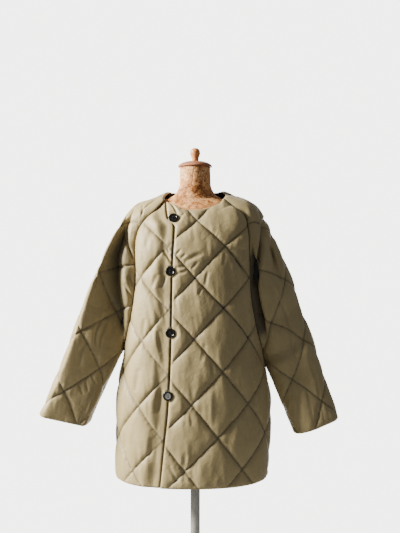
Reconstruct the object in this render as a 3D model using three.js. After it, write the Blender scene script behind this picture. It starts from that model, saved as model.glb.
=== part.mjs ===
// Quilted raglan jacket, buttoned off centre, on a limbless papier mache dress form with a round stand.
// Millimetres, +Z up, the front faces -Y. The origin is the middle of the stand's underside.
// Heights in the tables are counted from the chest line, the named height below.
import * as THREE from "three";

// Heights of the main lines
const CHEST_LINE = 1158;
const HEM = -621;
const SHOULDER_ROW = 185;

// The cloth wall and its quilting
const WALL = 3;
const SEAM_GAP = 0.32;
const CORNER_GIVE = 0.8;
const PUFF = 9;
const PUFF_RUN = 20;
const EDGE_RUN = 11;
const DIAMOND_WIDE = 166;
const DIAMOND_TALL = 184;
const LATTICE_LOW = -584;
const LATTICE_FROM_EDGE = 63;
const SNAP = 9;
const ROWS = 30;
const UNDERLAP_SINK = 5;
const UNDERLAP_WIDTH = 78;

// Buttons and their cord loops
const BUTTON_RADIUS = 14;
const BUTTON_THICK = 4.2;
const BUTTON_SEAT = 0.4;
const SHANK_RADIUS = 2.5;
const SHANK_TALL = 2.4;
const LOOP_CORD = 1.3;
const LOOP_RADIUS = 16;

// The form's hard pieces
const NECK_RADIUS = 45.5;
const NECK_TOP = 297;
const CAP_RADIUS = 51.7;
const CAP_THICK = 18;
const KNOB_RADIUS = 14;
const KNOB_TALL = 39;
const FORM_FOOT = -430;
const POLE_RADIUS = 14;
const BASE_RADIUS = 165;
const BASE_THICK = 22;
const FACE_GAP = 0.3;

// A table with named columns, read at any place of its first column by a smooth curve
// that never swings past its rows.
function table(names, rows) {
  const last = rows.length - 1;
  return (name, place) => {
    const c = names.indexOf(name);
    const at = Math.min(Math.max(place, rows[0][0]), rows[last][0]);
    let i = 0;
    while (i < last - 1 && at > rows[i + 1][0]) i += 1;
    const rise = (k) => (rows[k + 1][c] - rows[k][c]) / (rows[k + 1][0] - rows[k][0]);
    const slope = (k) => {
      if (k === 0) return rise(0);
      if (k === last) return rise(last - 1);
      const product = rise(k - 1) * rise(k);
      return product > 0 ? (2 * product) / (rise(k - 1) + rise(k)) : 0;
    };
    const step = rows[i + 1][0] - rows[i][0];
    const t = (at - rows[i][0]) / step;
    const blend = t * t * (3 - 2 * t);
    const lean = slope(i) * t * (1 - t) * (1 - t) - slope(i + 1) * t * t * (1 - t);
    return rows[i][c] + (rows[i + 1][c] - rows[i][c]) * blend + step * lean;
  };
}

// Level rings of the body, as superellipses
const BODY = table(["height", "middle", "halfWidth", "front", "back"], [
  [-621, -13, 225, 163, 150],
  [-500, -7, 229, 160, 148],
  [-400, -5, 226, 156, 145],
  [-300, -4, 215, 152, 142],
  [-250, -6, 206, 149, 140],
  [-170, -5, 201, 143, 136],
  [0, -3, 196, 131, 126],
  [100, -2, 192, 113, 112],
  [150, 0, 178, 92, 97],
  [185, 0, 138, 68, 81],
  [200, 0, 112, 54, 73],
  [226, 0, 84, 34, 62],
]);

// The overlapping front's edge
const FRONT_EDGE = table(["height", "x"], [
  [-621, -96],
  [-497, -83],
  [-415, -74],
  [-260, -66],
  [15, -61],
  [115, -56],
  [145, -77],
  [189, -84],
]);

// Buttons: the top one is sewn through the overlap's corner, the others beside its edge, on the
// underlap, which lies deeper.
const BUTTONS = [
  { height: 138, x: -62, deeper: 0 },
  { height: -14, x: -69, deeper: UNDERLAP_SINK },
  { height: -188, x: -68.4, deeper: UNDERLAP_SINK },
  { height: -363, x: -75.2, deeper: UNDERLAP_SINK },
];

// Raglan seams: how far the front and the back seam stand from the middle line
const RAGLAN_LEFT = table(["height", "front", "back"], [
  [-245, -211, -211],
  [-172, -193, -188],
  [-108, -180, -172],
  [-20, -173, -166],
  [62, -175, -165],
  [101, -168, -160],
  [134, -149, -147],
  [163, -117, -126],
  [194, -90, -104],
  [224, -72, -72],
]);
const RAGLAN_RIGHT = table(["height", "front", "back"], [
  [-298, 211, 211],
  [-259, 200, 199],
  [-181, 180, 181],
  [-69, 161, 170],
  [34, 158, 166],
  [95, 155, 160],
  [143, 147, 147],
  [172, 115, 118],
  [200, 83, 98],
  [225, 74, 71],
]);

// Necklines of the two fronts, from the middle line
const NECK_OVER = table(["x", "height"], [
  [-84, 189],
  [-59, 179],
  [-36, 166],
  [-15, 163.5],
  [10, 165],
  [43, 172],
  [70, 184],
  [83, 200],
]);
const NECK_UNDER = table(["x", "height"], [
  [-90, 194],
  [-75, 180],
  [-59, 171],
  [-36, 160],
  [-15, 157.5],
  [10, 158],
]);

// Sleeves: the line over the arm from the neck to the cuff, by its own length
const OVERARM_LEFT = table(["length", "x", "y", "height"], [
  [0, -87, 2, 216],
  [94, -174, 4, 184],
  [138, -203, 2, 151],
  [197, -232, -6, 100],
  [325, -287, -30, -14],
  [416, -322, -42, -97],
  [634, -396, -58, -302],
  [775, -450, -66, -433],
]);
const OVERARM_RIGHT = table(["length", "x", "y", "height"], [
  [0, 88, 2, 219],
  [97, 178, 4, 185],
  [141, 204, 4, 149],
  [204, 231, 2, 91],
  [329, 282, -8, -23],
  [410, 308, -16, -100],
  [517, 348, -26, -201],
  [668, 393, -40, -348],
  [766, 424, -48, -444],
]);

// The seam under the arm, from the body down to the cuff, and how thick the sleeve lies
const UNDERARM_LEFT = table(["share", "x", "y", "height", "thick"], [
  [0, -211, 0, -245, 66],
  [0.3, -245, 4, -309, 56],
  [1, -319, 10, -466, 40],
]);
const UNDERARM_RIGHT = table(["share", "x", "y", "height", "thick"], [
  [0, 211, 0, -298, 68],
  [0.3, 236, -14, -352, 58],
  [1, 293, -52, -487, 46],
]);

const smooth = (from, to, x) => THREE.MathUtils.smoothstep(x, from, to);
const mix = THREE.MathUtils.lerp;
const power = (value, exponent) => Math.sign(value) * Math.abs(value) ** exponent;

const ROUNDNESS = 0.87;

// A point of the body's ring; turn runs from the front middle towards +X and on to the back.
function ringPoint(height, turn) {
  const deep = Math.cos(turn) > 0 ? BODY("front", height) : BODY("back", height);
  return new THREE.Vector3(
    BODY("middle", height) + BODY("halfWidth", height) * power(Math.sin(turn), ROUNDNESS),
    -deep * power(Math.cos(turn), ROUNDNESS),
    CHEST_LINE + height,
  );
}

// Half of a ring, front or back, walked by its length: reach 0 is on the middle line x = 0.
const HALF_STEPS = 90;
function halfRing(height, back) {
  const turns = [];
  const points = [];
  const lengths = [0];
  for (let i = 0; i <= HALF_STEPS; i += 1) {
    const turn = mix(-Math.PI / 2, Math.PI / 2, i / HALF_STEPS);
    turns.push(back ? Math.PI - turn : turn);
    points.push(ringPoint(height, turns[i]));
    if (i > 0) lengths.push(lengths[i - 1] + points[i].distanceTo(points[i - 1]));
  }
  const read = (keys, values, key) => {
    let i = 0;
    while (i < HALF_STEPS - 1 && key > keys[i + 1]) i += 1;
    const t = THREE.MathUtils.clamp((key - keys[i]) / (keys[i + 1] - keys[i]), 0, 1);
    return mix(values[i], values[i + 1], t);
  };
  const across = points.map((point) => point.x);
  const zero = read(across, lengths, 0);
  return {
    reachAt: (x) => read(across, lengths, x) - zero,
    turnAt: (reach) => read(lengths, turns, reach + zero),
    ends: [-zero, lengths[HALF_STEPS] - zero],
  };
}

// How far a place on the flat cloth lies from its two nearest lines of stitching
const GRADIENT = new THREE.Vector2(1 / DIAMOND_WIDE, 1 / DIAMOND_TALL);
function stitchOffsets(across, down) {
  const a = across / DIAMOND_WIDE + down / DIAMOND_TALL;
  const b = across / DIAMOND_WIDE - down / DIAMOND_TALL;
  return [a - Math.round(a), b - Math.round(b)];
}

// Slides a place that is nearly on a stitch line onto it.
function snapped(across, down) {
  const [a, b] = stitchOffsets(across, down).map((offset) =>
    Math.abs(offset) < SNAP * GRADIENT.length() ? offset / GRADIENT.lengthSq() : 0,
  );
  return [across - (a + b) * GRADIENT.x, down - (a - b) * GRADIENT.y];
}

// Height of the padding over the stitch lines
function padding(across, down) {
  return stitchOffsets(across, down).reduce(
    (rise, offset) => rise * (1 - Math.exp(-Math.abs(offset) / GRADIENT.length() / PUFF_RUN)),
    PUFF,
  );
}

const latticeMiddle = (height) => FRONT_EDGE("x", Math.min(height, 115)) + LATTICE_FROM_EDGE;
const rowHeight = (row) => mix(HEM, SHOULDER_ROW, row / ROWS);
const UNDERARM_ROW_LEFT = 14;
const UNDERARM_ROW_RIGHT = 12;

// The outer side of a body panel at one row: up the side seam, then along the raglan seam.
function sideOf(row, underarmRow, raglan, column, topHeight) {
  if (row <= underarmRow) return { height: rowHeight(row), x: null };
  const share = (row - underarmRow) / (ROWS - underarmRow);
  const height = mix(rowHeight(underarmRow), topHeight, share);
  return { height, x: raglan(column, height) };
}

// A body panel's places, row by row from the hem: near and far give the two sides of a row,
// top gives the height of the neck edge.
function bodyPanel({ columns, back, near, far, top, sinks }) {
  const skin = [];
  for (let row = 0; row <= ROWS; row += 1) {
    const line = [];
    const rise = smooth(0.8, 1, row / ROWS) * 0.5 + smooth(0.93, 1, row / ROWS) * 0.5;
    for (let k = 0; k <= columns; k += 1) {
      const share = k / columns;
      const [from, to] = [near(row), far(row)];
      let height = mix(from.height, to.height, share);
      const rough = mix(from.x ?? 0, to.x ?? 0, share);
      if (top) height += (top(rough) - mix(from.top, to.top, share)) * rise;
      const half = halfRing(height, back);
      const reachOf = (side, end) => (side.x === null ? half.ends[end] : half.reachAt(side.x));
      let reach = mix(reachOf(from, 0), reachOf(to, 1), share);
      const middle = back ? 0 : latticeMiddle(height);
      if (row > 0 && row < ROWS && k > 0 && k < columns) {
        const [across, down] = snapped(reach - middle, height - LATTICE_LOW);
        reach = across + middle;
        height = down + LATTICE_LOW;
      }
      const point = ringPoint(height, halfRing(height, back).turnAt(reach));
      const under = sinks ? sinks(reach, height) : 0;
      line.push({ point, rise: padding(reach - middle, height - LATTICE_LOW) * (1 - under), under });
    }
    skin.push(line);
  }
  return skin;
}

const edgeAt = (row, topHeight, x) => {
  const height = mix(HEM, topHeight, row / ROWS);
  return { height, x: x(height), top: topHeight };
};
const capped = (side, top) => ({ ...side, top });

// The front that laps over, from its edge to the seams on +X
const overlapSkin = bodyPanel({
  columns: 15,
  back: false,
  near: (row) => edgeAt(row, 189, (height) => FRONT_EDGE("x", height)),
  far: (row) => capped(sideOf(row, UNDERARM_ROW_RIGHT, RAGLAN_RIGHT, "front", 200), 200),
  top: (x) => NECK_OVER("height", x),
});

// The front that lies under it, from the seams on -X to its hidden edge
const underlapShare = (reach, height) => {
  const edge = FRONT_EDGE("x", height);
  return smooth(edge - 54, edge - 24, reach);
};
const underlapSkin = bodyPanel({
  columns: 13,
  back: false,
  near: (row) => capped(sideOf(row, UNDERARM_ROW_LEFT, RAGLAN_LEFT, "front", 194), 194),
  far: (row) =>
    edgeAt(row, 158, (height) => FRONT_EDGE("x", Math.min(height, 100)) + UNDERLAP_WIDTH),
  top: (x) => NECK_UNDER("height", x),
  sinks: underlapShare,
});

// The back, from side seam to side seam
const backSkin = bodyPanel({
  columns: 23,
  back: true,
  near: (row) => sideOf(row, UNDERARM_ROW_LEFT, RAGLAN_LEFT, "back", 224),
  far: (row) => sideOf(row, UNDERARM_ROW_RIGHT, RAGLAN_RIGHT, "back", 225),
});

// One station of a sleeve: an oval from the front seam over the arm to the back seam.
const OVAL_STEPS = 72;
function station(front, top, back, thick, columns) {
  const middle = front.clone().add(back).multiplyScalar(0.5);
  const half = front.distanceTo(back) / 2;
  const depth = Math.max(half, thick);
  const end = Math.PI - Math.asin(Math.min(1, half / depth));
  const endAcross = power(Math.cos(end), ROUNDNESS);
  const outward = top.clone().sub(middle).divideScalar(1 - endAcross);
  const centre = top.clone().sub(outward);
  const forward = half > 1 ? front.clone().sub(back).normalize() : new THREE.Vector3(0, -1, 0);
  const reachEnd = half > 1 ? half / power(Math.sin(end), ROUNDNESS) : depth;
  const points = [];
  for (let i = 0; i <= OVAL_STEPS; i += 1) {
    const turn = mix(-end, end, i / OVAL_STEPS);
    points.push(
      centre.clone()
        .addScaledVector(outward, power(Math.cos(turn), ROUNDNESS))
        .addScaledVector(forward, -reachEnd * power(Math.sin(turn), ROUNDNESS)),
    );
  }
  points[0].copy(front);
  points[OVAL_STEPS].copy(back);
  return new THREE.CatmullRomCurve3(points).getSpacedPoints(columns);
}

const underarmPoint = (underarm, share) => new THREE.Vector3(
  underarm("x", share),
  underarm("y", share),
  CHEST_LINE + underarm("height", share),
);

// A sleeve's stations from the neck to the cuff, and the quilting in its own lengths. The seam
// under the arm starts exactly where the body's side seam ends.
const SLEEVE_COLUMNS = 17;
const NECK_THICK = 40;
function sleevePanel({
  frontSeam, backSeam, underarmRow, overarm, underarm, cuffRows, drop, lattice, folds,
}) {
  const raglanRows = ROWS - underarmRow;
  const stations = raglanRows + cuffRows;
  const shift = frontSeam[underarmRow].clone().sub(underarmPoint(underarm, 0));
  const skin = [];
  for (let i = 0; i <= stations; i += 1) {
    const below = Math.max(0, i - raglanRows) / cuffRows;
    const length = i <= raglanRows
      ? mix(0, drop.underarm, i / raglanRows)
      : mix(drop.underarm, drop.cuff, below);
    const top = new THREE.Vector3(
      overarm("x", length),
      overarm("y", length),
      CHEST_LINE + overarm("height", length),
    );
    const seam = underarmPoint(underarm, below).addScaledVector(shift, 1 - below);
    const front = i < raglanRows ? frontSeam[ROWS - i] : seam;
    const back = i < raglanRows ? backSeam[ROWS - i] : seam;
    const thick = i < raglanRows
      ? mix(NECK_THICK, underarm("thick", 0), i / raglanRows)
      : underarm("thick", below);
    const ring = station(front, top, back, thick, SLEEVE_COLUMNS);
    const around = ring[0].distanceTo(ring[1]);
    const line = ring.map((point, k) => {
      const across = (k - SLEEVE_COLUMNS / 2) * around;
      return { point, rise: padding(across - lattice.across, length - lattice.down), under: 0, length };
    });
    skin.push(line);
  }
  foldIn(skin, folds);
  return skin;
}

// Presses soft troughs into a sleeve towards its middle: each fold runs down the sleeve between two
// lengths, at a share of the way round from the front seam.
function foldIn(skin, folds) {
  skin.forEach((line) => {
    const centre = line
      .reduce((sum, { point }) => sum.add(point), new THREE.Vector3())
      .divideScalar(line.length);
    line.forEach((place, k) => {
      const share = k / (line.length - 1);
      const rim = smooth(0, 0.06, share) * smooth(0, 0.06, 1 - share);
      folds.forEach(({ from, to, share: at, width, deep }) => {
        const along = smooth(from - 60, from + 40, place.length)
          * (1 - smooth(to - 60, to + 60, place.length));
        const near = Math.exp(-(((share - at) / width) ** 2));
        place.point.lerp(centre, (deep * along * near * rim) / place.point.distanceTo(centre));
      });
    });
  });
}

const seamOf = (skin, last) => skin.map((line) => line[last ? line.length - 1 : 0].point.clone());

const leftSleeveSkin = sleevePanel({
  frontSeam: seamOf(underlapSkin, false),
  backSeam: seamOf(backSkin, false),
  underarmRow: UNDERARM_ROW_LEFT,
  overarm: OVERARM_LEFT,
  underarm: UNDERARM_LEFT,
  cuffRows: 9,
  drop: { underarm: 520, cuff: 775 },
  lattice: { across: -55, down: 502 },
  folds: [
    { from: 190, to: 480, share: 0.14, width: 0.07, deep: 34 },
    { from: 150, to: 330, share: 0.72, width: 0.09, deep: 16 },
  ],
});
const rightSleeveSkin = sleevePanel({
  frontSeam: seamOf(overlapSkin, true),
  backSeam: seamOf(backSkin, true),
  underarmRow: UNDERARM_ROW_RIGHT,
  overarm: OVERARM_RIGHT,
  underarm: UNDERARM_RIGHT,
  cuffRows: 8,
  drop: { underarm: 545, cuff: 766 },
  lattice: { across: -50, down: 515 },
  folds: [
    { from: 160, to: 520, share: 0.08, width: 0.06, deep: 24 },
    { from: 190, to: 300, share: 0.3, width: 0.06, deep: 12 },
    { from: 170, to: 360, share: 0.7, width: 0.09, deep: 18 },
  ],
});

const panels = [
  { name: "front_overlap", skin: overlapSkin, turned: false },
  { name: "front_underlap", skin: underlapSkin, turned: false },
  { name: "back", skin: backSkin, turned: true },
  { name: "sleeve_left", skin: leftSleeveSkin, turned: false, isSleeve: true },
  { name: "sleeve_right", skin: rightSleeveSkin, turned: true, isSleeve: true },
];

// Normals that agree where panels meet: each face's own is summed at its corners, over all panels.
const normalSums = new Map();
const placeKey = ({ point }) => point.toArray().map((value) => Math.round(value * 50)).join();
function addNormal(corners, turned) {
  const [a, b, c] = corners.map(({ point }) => point);
  const normal = b.clone().sub(a).cross(c.clone().sub(a)).multiplyScalar(turned ? -1 : 1);
  corners.forEach((corner) => {
    const key = placeKey(corner);
    if (!normalSums.has(key)) normalSums.set(key, new THREE.Vector3());
    normalSums.get(key).add(normal);
  });
}
panels.forEach(({ skin, turned }) => {
  for (let i = 1; i < skin.length; i += 1) {
    for (let k = 1; k < skin[i].length; k += 1) {
      const [a, b, c, d] = [skin[i - 1][k - 1], skin[i - 1][k], skin[i][k], skin[i][k - 1]];
      addNormal([a, b, c], turned);
      addNormal([a, c, d], turned);
    }
  }
});

// Where a place on the rim of a panel moves to, so that neighbours stand a seam's gap apart.
// A sleeve gives a little more at the sharp corners, under the arm and at the neck.
function pulledIn(skin, i, k, corners) {
  const last = skin.length - 1;
  const end = skin[i].length - 1;
  const moved = skin[i][k].point.clone();
  const corner = Math.min(...corners.map((place) => place.distanceTo(moved)));
  const give = SEAM_GAP / 2 + CORNER_GIVE * (1 - smooth(40, 90, corner));
  const pull = (inner, before, after) => {
    const along = after.point.clone().sub(before.point).normalize();
    const inward = inner.point.clone().sub(skin[i][k].point);
    inward.addScaledVector(along, -inward.dot(along)).normalize();
    moved.addScaledVector(inward, give);
  };
  const [above, below] = [skin[Math.max(i - 1, 0)], skin[Math.min(i + 1, last)]];
  if (k === 0) pull(skin[i][1], above[0], below[0]);
  if (k === end) pull(skin[i][end - 1], above[end], below[end]);
  const [left, right] = [skin[i][Math.max(k - 1, 0)], skin[i][Math.min(k + 1, end)]];
  if (i === 0) pull(skin[1][k], left, right);
  if (i === last) pull(skin[last - 1][k], left, right);
  return moved;
}

// A place on the front, from its height and its distance from the middle line
function frontPlace(height, x) {
  const half = halfRing(height, false);
  return ringPoint(height, half.turnAt(half.reachAt(x)));
}

const buttonPlaces = BUTTONS.map(({ height, x }) => frontPlace(height, x));
const buttonNear = (point) => Math.min(...buttonPlaces.map((place) => place.distanceTo(point)));

// Where the side seams meet the sleeves, the padding runs out between body and sleeve.
const underarms = [
  underlapSkin[UNDERARM_ROW_LEFT][0].point.clone(),
  overlapSkin[UNDERARM_ROW_RIGHT].at(-1).point.clone(),
];
const underarmNear = (point) => Math.min(...underarms.map((place) => place.distanceTo(point)));
const sleeveCorners = (skin) => [skin[0][0].point, skin[0].at(-1).point, ...underarms];

// A closed wall: the plain inside, the padded outside and the rim between them.
function wallGeometry({ skin, turned, isSleeve }) {
  const corners = isSleeve ? sleeveCorners(skin) : [];
  const last = skin.length - 1;
  const end = skin[0].length - 1;
  const width = end + 1;
  const outside = [];
  const inside = [];
  skin.forEach((line, i) => {
    line.forEach((place, k) => {
      const normal = normalSums.get(placeKey(place)).clone().normalize();
      const rim = Math.min(
        place.point.distanceTo(skin[0][k].point),
        place.point.distanceTo(skin[last][k].point),
        place.point.distanceTo(line[0].point),
        place.point.distanceTo(line[end].point),
      );
      const eased = (1 - Math.exp(-rim / EDGE_RUN))
        * smooth(20, 40, buttonNear(place.point))
        * smooth(15, 110, underarmNear(place.point));
      const base = pulledIn(skin, i, k, corners).addScaledVector(normal, -UNDERLAP_SINK * place.under);
      outside.push(base.clone().addScaledVector(normal, place.rise * eased));
      inside.push(base.clone().addScaledVector(normal, -WALL));
    });
  });
  const vertices = [...outside, ...inside];
  const within = outside.length;
  const faces = [];
  const face = (a, b, c) => faces.push(...(turned ? [a, c, b] : [a, b, c]));
  const quad = (a, b, c, d, across) => {
    if (across) {
      face(a, b, c);
      face(a, c, d);
    } else {
      face(a, b, d);
      face(b, c, d);
    }
  };
  const lift = (index) => skin[Math.floor(index / width)][index % width].rise;
  for (let i = 0; i < last; i += 1) {
    for (let k = 0; k < end; k += 1) {
      const [a, b] = [i * width + k, i * width + k + 1];
      const [d, c] = [a + width, b + width];
      const across = lift(a) + lift(c) <= lift(b) + lift(d);
      quad(a, b, c, d, across);
      quad(within + a, within + d, within + c, within + b, across);
    }
  }
  const rimPath = [];
  for (let k = 0; k < end; k += 1) rimPath.push(k);
  for (let i = 0; i < last; i += 1) rimPath.push(i * width + end);
  for (let k = end; k > 0; k -= 1) rimPath.push(last * width + k);
  for (let i = last; i > 0; i -= 1) rimPath.push(i * width);
  rimPath.forEach((a, i) => {
    const b = rimPath[(i + 1) % rimPath.length];
    quad(within + a, within + b, b, a, true);
  });
  return solid(vertices, faces);
}

function solid(vertices, faces) {
  const geometry = new THREE.BufferGeometry();
  const numbers = vertices.flatMap((vertex) => vertex.toArray());
  geometry.setAttribute("position", new THREE.Float32BufferAttribute(numbers, 3));
  geometry.setIndex(faces);
  geometry.computeVertexNormals();
  return geometry;
}

// The form: level rings from its flat foot up to its neck
const FORM = table(["height", "halfWidth", "front", "back", "y"], [
  [FORM_FOOT, 148, 96, 104, 0],
  [-380, 162, 106, 112, 0],
  [-300, 158, 104, 110, 0],
  [-180, 120, 84, 84, 0],
  [-60, 142, 104, 92, 0],
  [30, 156, 108, 98, 0],
  [100, 164, 98, 95, 0],
  [140, 168, 84, 84, 0],
  [165, 166, 71, 72, 0],
  [180, 158, 58, 63, 0],
  [189, 142, 51, 58, 0],
  [196, 116, 46, 54, 0],
  [203, 82, 43, 52, 0],
  [219, 58, 45, 49, 3],
  [246, NECK_RADIUS + 1.5, NECK_RADIUS, NECK_RADIUS + 1, 3],
  [NECK_TOP, NECK_RADIUS, NECK_RADIUS, NECK_RADIUS, 3],
]);
const FORM_ROWS = [
  FORM_FOOT, -405, -370, -300, -240, -180, -120, -60, 0, 40, 80, 110,
  140, 155, 167, 176, 184, 192, 199, 206, 219, 232, 246, NECK_TOP,
];
const FORM_SIDES = 32;
function formGeometry() {
  const vertices = [];
  const faces = [];
  FORM_ROWS.forEach((height) => {
    const squareness = mix(0.9, 1.1, smooth(60, 150, height)) - 0.1 * smooth(200, 246, height);
    for (let k = 0; k < FORM_SIDES; k += 1) {
      const turn = (2 * Math.PI * k) / FORM_SIDES;
      const deep = Math.cos(turn) > 0 ? FORM("front", height) : FORM("back", height);
      vertices.push(new THREE.Vector3(
        FORM("halfWidth", height) * power(Math.sin(turn), squareness),
        FORM("y", height) - deep * power(Math.cos(turn), squareness),
        CHEST_LINE + height,
      ));
    }
  });
  const rings = FORM_ROWS.length;
  for (let i = 0; i < rings - 1; i += 1) {
    for (let k = 0; k < FORM_SIDES; k += 1) {
      const [a, b] = [i * FORM_SIDES + k, i * FORM_SIDES + ((k + 1) % FORM_SIDES)];
      faces.push(a, b, b + FORM_SIDES, a, b + FORM_SIDES, a + FORM_SIDES);
    }
  }
  for (let k = 1; k < FORM_SIDES - 1; k += 1) {
    const top = (rings - 1) * FORM_SIDES;
    faces.push(0, k + 1, k, top, top + k, top + k + 1);
  }
  return solid(vertices, faces);
}

// A turned piece standing on a height, from its radii and rises
function turned(profile, sides) {
  const points = profile.map(([radius, rise]) => new THREE.Vector2(radius, rise));
  return new THREE.LatheGeometry(points, sides).rotateX(Math.PI / 2);
}

const material = (color, roughness, metalness = 0) =>
  new THREE.MeshStandardMaterial({ color, roughness, metalness });
const CLOTH = material(0xa3946b, 0.62);
const BUTTON = material(0x23221f, 0.22);
const CORD = material(0x2a2824, 0.8);
const PAPIER = material(0xc9a27c, 0.75);
const CAP_WOOD = material(0x8a4a2a, 0.45);
const KNOB_WOOD = material(0xb5672f, 0.35);
const STEEL = material(0x8d8a85, 0.35, 0.9);
const BASE_PAINT = material(0x3a3835, 0.5, 0.4);

const jacket = new THREE.Group();
const stand = new THREE.Group();
function addMesh(group, name, geometry, finish) {
  const mesh = new THREE.Mesh(geometry, finish);
  mesh.name = name;
  group.add(mesh);
  return mesh;
}

panels.forEach((panel) => addMesh(jacket, panel.name, wallGeometry(panel), CLOTH));

// A button is turned with a raised rim and stands on its thread shank; its cord loop is an arc that
// lies just above it.
const buttonProfile = (deeper) => [
  [0, -deeper],
  [SHANK_RADIUS, -deeper],
  [SHANK_RADIUS, SHANK_TALL],
  [11.5, SHANK_TALL],
  [BUTTON_RADIUS, SHANK_TALL + 1.4],
  [BUTTON_RADIUS, SHANK_TALL + 3.1],
  [12.6, SHANK_TALL + BUTTON_THICK],
  [10.2, SHANK_TALL + 3.4],
  [8.4, SHANK_TALL + 2.8],
  [0, SHANK_TALL + 2.8],
];
function loopGeometry() {
  const arc = [];
  for (let i = 0; i <= 8; i += 1) {
    const angle = mix(0.32, 0.68, i / 8) * Math.PI;
    arc.push(new THREE.Vector3(Math.cos(angle), Math.sin(angle), 0).multiplyScalar(LOOP_RADIUS));
  }
  const section = new THREE.Shape().absarc(0, 0, LOOP_CORD, 0, 2 * Math.PI);
  return new THREE.ExtrudeGeometry(section, {
    steps: 8,
    curveSegments: 4,
    extrudePath: new THREE.CatmullRomCurve3(arc),
  });
}
BUTTONS.forEach(({ height, x, deeper }, i) => {
  const centre = frontPlace(height, x);
  const aside = frontPlace(height, x + 8);
  const above = frontPlace(height + 8, x);
  const right = aside.sub(centre).normalize();
  const normal = right.clone().cross(above.sub(centre)).normalize();
  const up = normal.clone().cross(right);
  const place = new THREE.Group();
  place.quaternion.setFromRotationMatrix(new THREE.Matrix4().makeBasis(right, up, normal));
  place.position.copy(centre).addScaledVector(normal, BUTTON_SEAT);
  addMesh(place, `button_${i + 1}`, turned(buttonProfile(deeper), 24), BUTTON);
  const loop = addMesh(place, `button_loop_${i + 1}`, loopGeometry(), CORD);
  loop.position.z = LOOP_CORD + BUTTON_SEAT;
  jacket.add(place);
});

addMesh(stand, "dress_form", formGeometry(), PAPIER);
const cap = addMesh(stand, "neck_cap", turned([
  [0, 0],
  [CAP_RADIUS - 3, 0],
  [CAP_RADIUS, 3],
  [CAP_RADIUS, 9],
  [CAP_RADIUS - 6, 14],
  [CAP_RADIUS - 20, CAP_THICK - 1],
  [15, CAP_THICK],
  [0, CAP_THICK],
], 40), CAP_WOOD);
cap.position.set(0, 3, CHEST_LINE + NECK_TOP + FACE_GAP);
const knob = addMesh(stand, "cap_knob", turned([
  [0, 0],
  [9.5, 0],
  [9.5, 3],
  [8, 6],
  [10, 12],
  [13.2, 17],
  [KNOB_RADIUS, 23],
  [12.6, 29],
  [8.6, 35],
  [4, 38],
  [0, KNOB_TALL],
], 24), KNOB_WOOD);
knob.position.set(0, 3, CHEST_LINE + NECK_TOP + CAP_THICK + 2 * FACE_GAP);
const poleTall = CHEST_LINE + FORM_FOOT - BASE_THICK - 2 * FACE_GAP;
const pole = addMesh(stand, "pole", turned([
  [0, 0],
  [POLE_RADIUS, 0],
  [POLE_RADIUS, poleTall],
  [0, poleTall],
], 28), STEEL);
pole.position.z = BASE_THICK + FACE_GAP;
addMesh(stand, "stand_base", turned([
  [0, 0],
  [BASE_RADIUS - 2, 0],
  [BASE_RADIUS, 2],
  [BASE_RADIUS, 8],
  [BASE_RADIUS - 5, 12],
  [60, BASE_THICK - 1],
  [40, BASE_THICK],
  [0, BASE_THICK],
], 48), BASE_PAINT);

const part = new THREE.Group();
part.add(jacket, stand);
export default part;
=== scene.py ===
# Quilted raglan jacket, buttoned off centre, on a limbless papier mache form with a round stand.
# Sizes are in millimetres until a mesh is made. Heights in the tables are counted from the chest line.
import math

import bpy
import numpy as np
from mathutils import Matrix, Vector


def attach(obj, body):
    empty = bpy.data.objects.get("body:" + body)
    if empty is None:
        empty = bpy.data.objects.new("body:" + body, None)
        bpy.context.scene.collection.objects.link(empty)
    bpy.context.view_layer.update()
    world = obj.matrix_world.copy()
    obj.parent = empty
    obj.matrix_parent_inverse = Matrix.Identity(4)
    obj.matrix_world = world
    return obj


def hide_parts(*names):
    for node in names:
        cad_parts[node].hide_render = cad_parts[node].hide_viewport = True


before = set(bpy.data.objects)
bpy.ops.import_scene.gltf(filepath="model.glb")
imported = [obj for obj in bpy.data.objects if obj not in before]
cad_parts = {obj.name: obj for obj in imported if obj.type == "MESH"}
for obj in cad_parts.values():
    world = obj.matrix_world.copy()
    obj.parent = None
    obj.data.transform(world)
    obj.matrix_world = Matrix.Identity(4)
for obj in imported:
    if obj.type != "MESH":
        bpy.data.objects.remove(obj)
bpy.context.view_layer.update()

# Studio: a round pale floor under a soft off-white surround, a large window-like lamp on the
# viewer's left, and the camera level with the chest line, straight in front.
CHEST_LINE = 1158
CAMERA_AWAY = 2300
CAMERA_ASIDE = 14.4
LONG_SIDE_PIXELS = 533
PIXELS_PER_RADIAN = 766.7
SENSOR = 36
LAMP_PLACE = (-3.51, -0.66, 2.69)
LAMP_AIM = (0, 0, 1.05)
LAMP_SIZE = 1.1
LAMP_WATTS = 900
LAMP_COLOUR = (1.0, 0.95, 0.83)
SURROUND_STRENGTH = 4.8
SURROUND_COLOURS = [(0.86, (0.05, 0.05, 0.051)), (0.91, (1.0, 0.998, 0.975))]
FLOOR_RADIUS = 1.0
FLOOR_SIDES = 128
FLOOR_COLOUR = (0.36, 0.358, 0.35, 1)


def shader_of(name):
    """A new node material, with its tree and its main shader."""
    made = bpy.data.materials.new(name)
    made.use_nodes = True
    return made, made.node_tree, made.node_tree.nodes["Principled BSDF"]


def wire(tree, kind, inputs, **settings):
    """Adds a node, with settings as its properties and inputs by name: a socket is linked, a value is
    set. Gives the node."""
    node = tree.nodes.new(kind)
    for key, value in settings.items():
        setattr(node, key, value)
    for key, value in inputs.items():
        if isinstance(value, bpy.types.NodeSocket):
            tree.links.new(value, node.inputs[key])
        else:
            node.inputs[key].default_value = value
    return node


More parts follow.
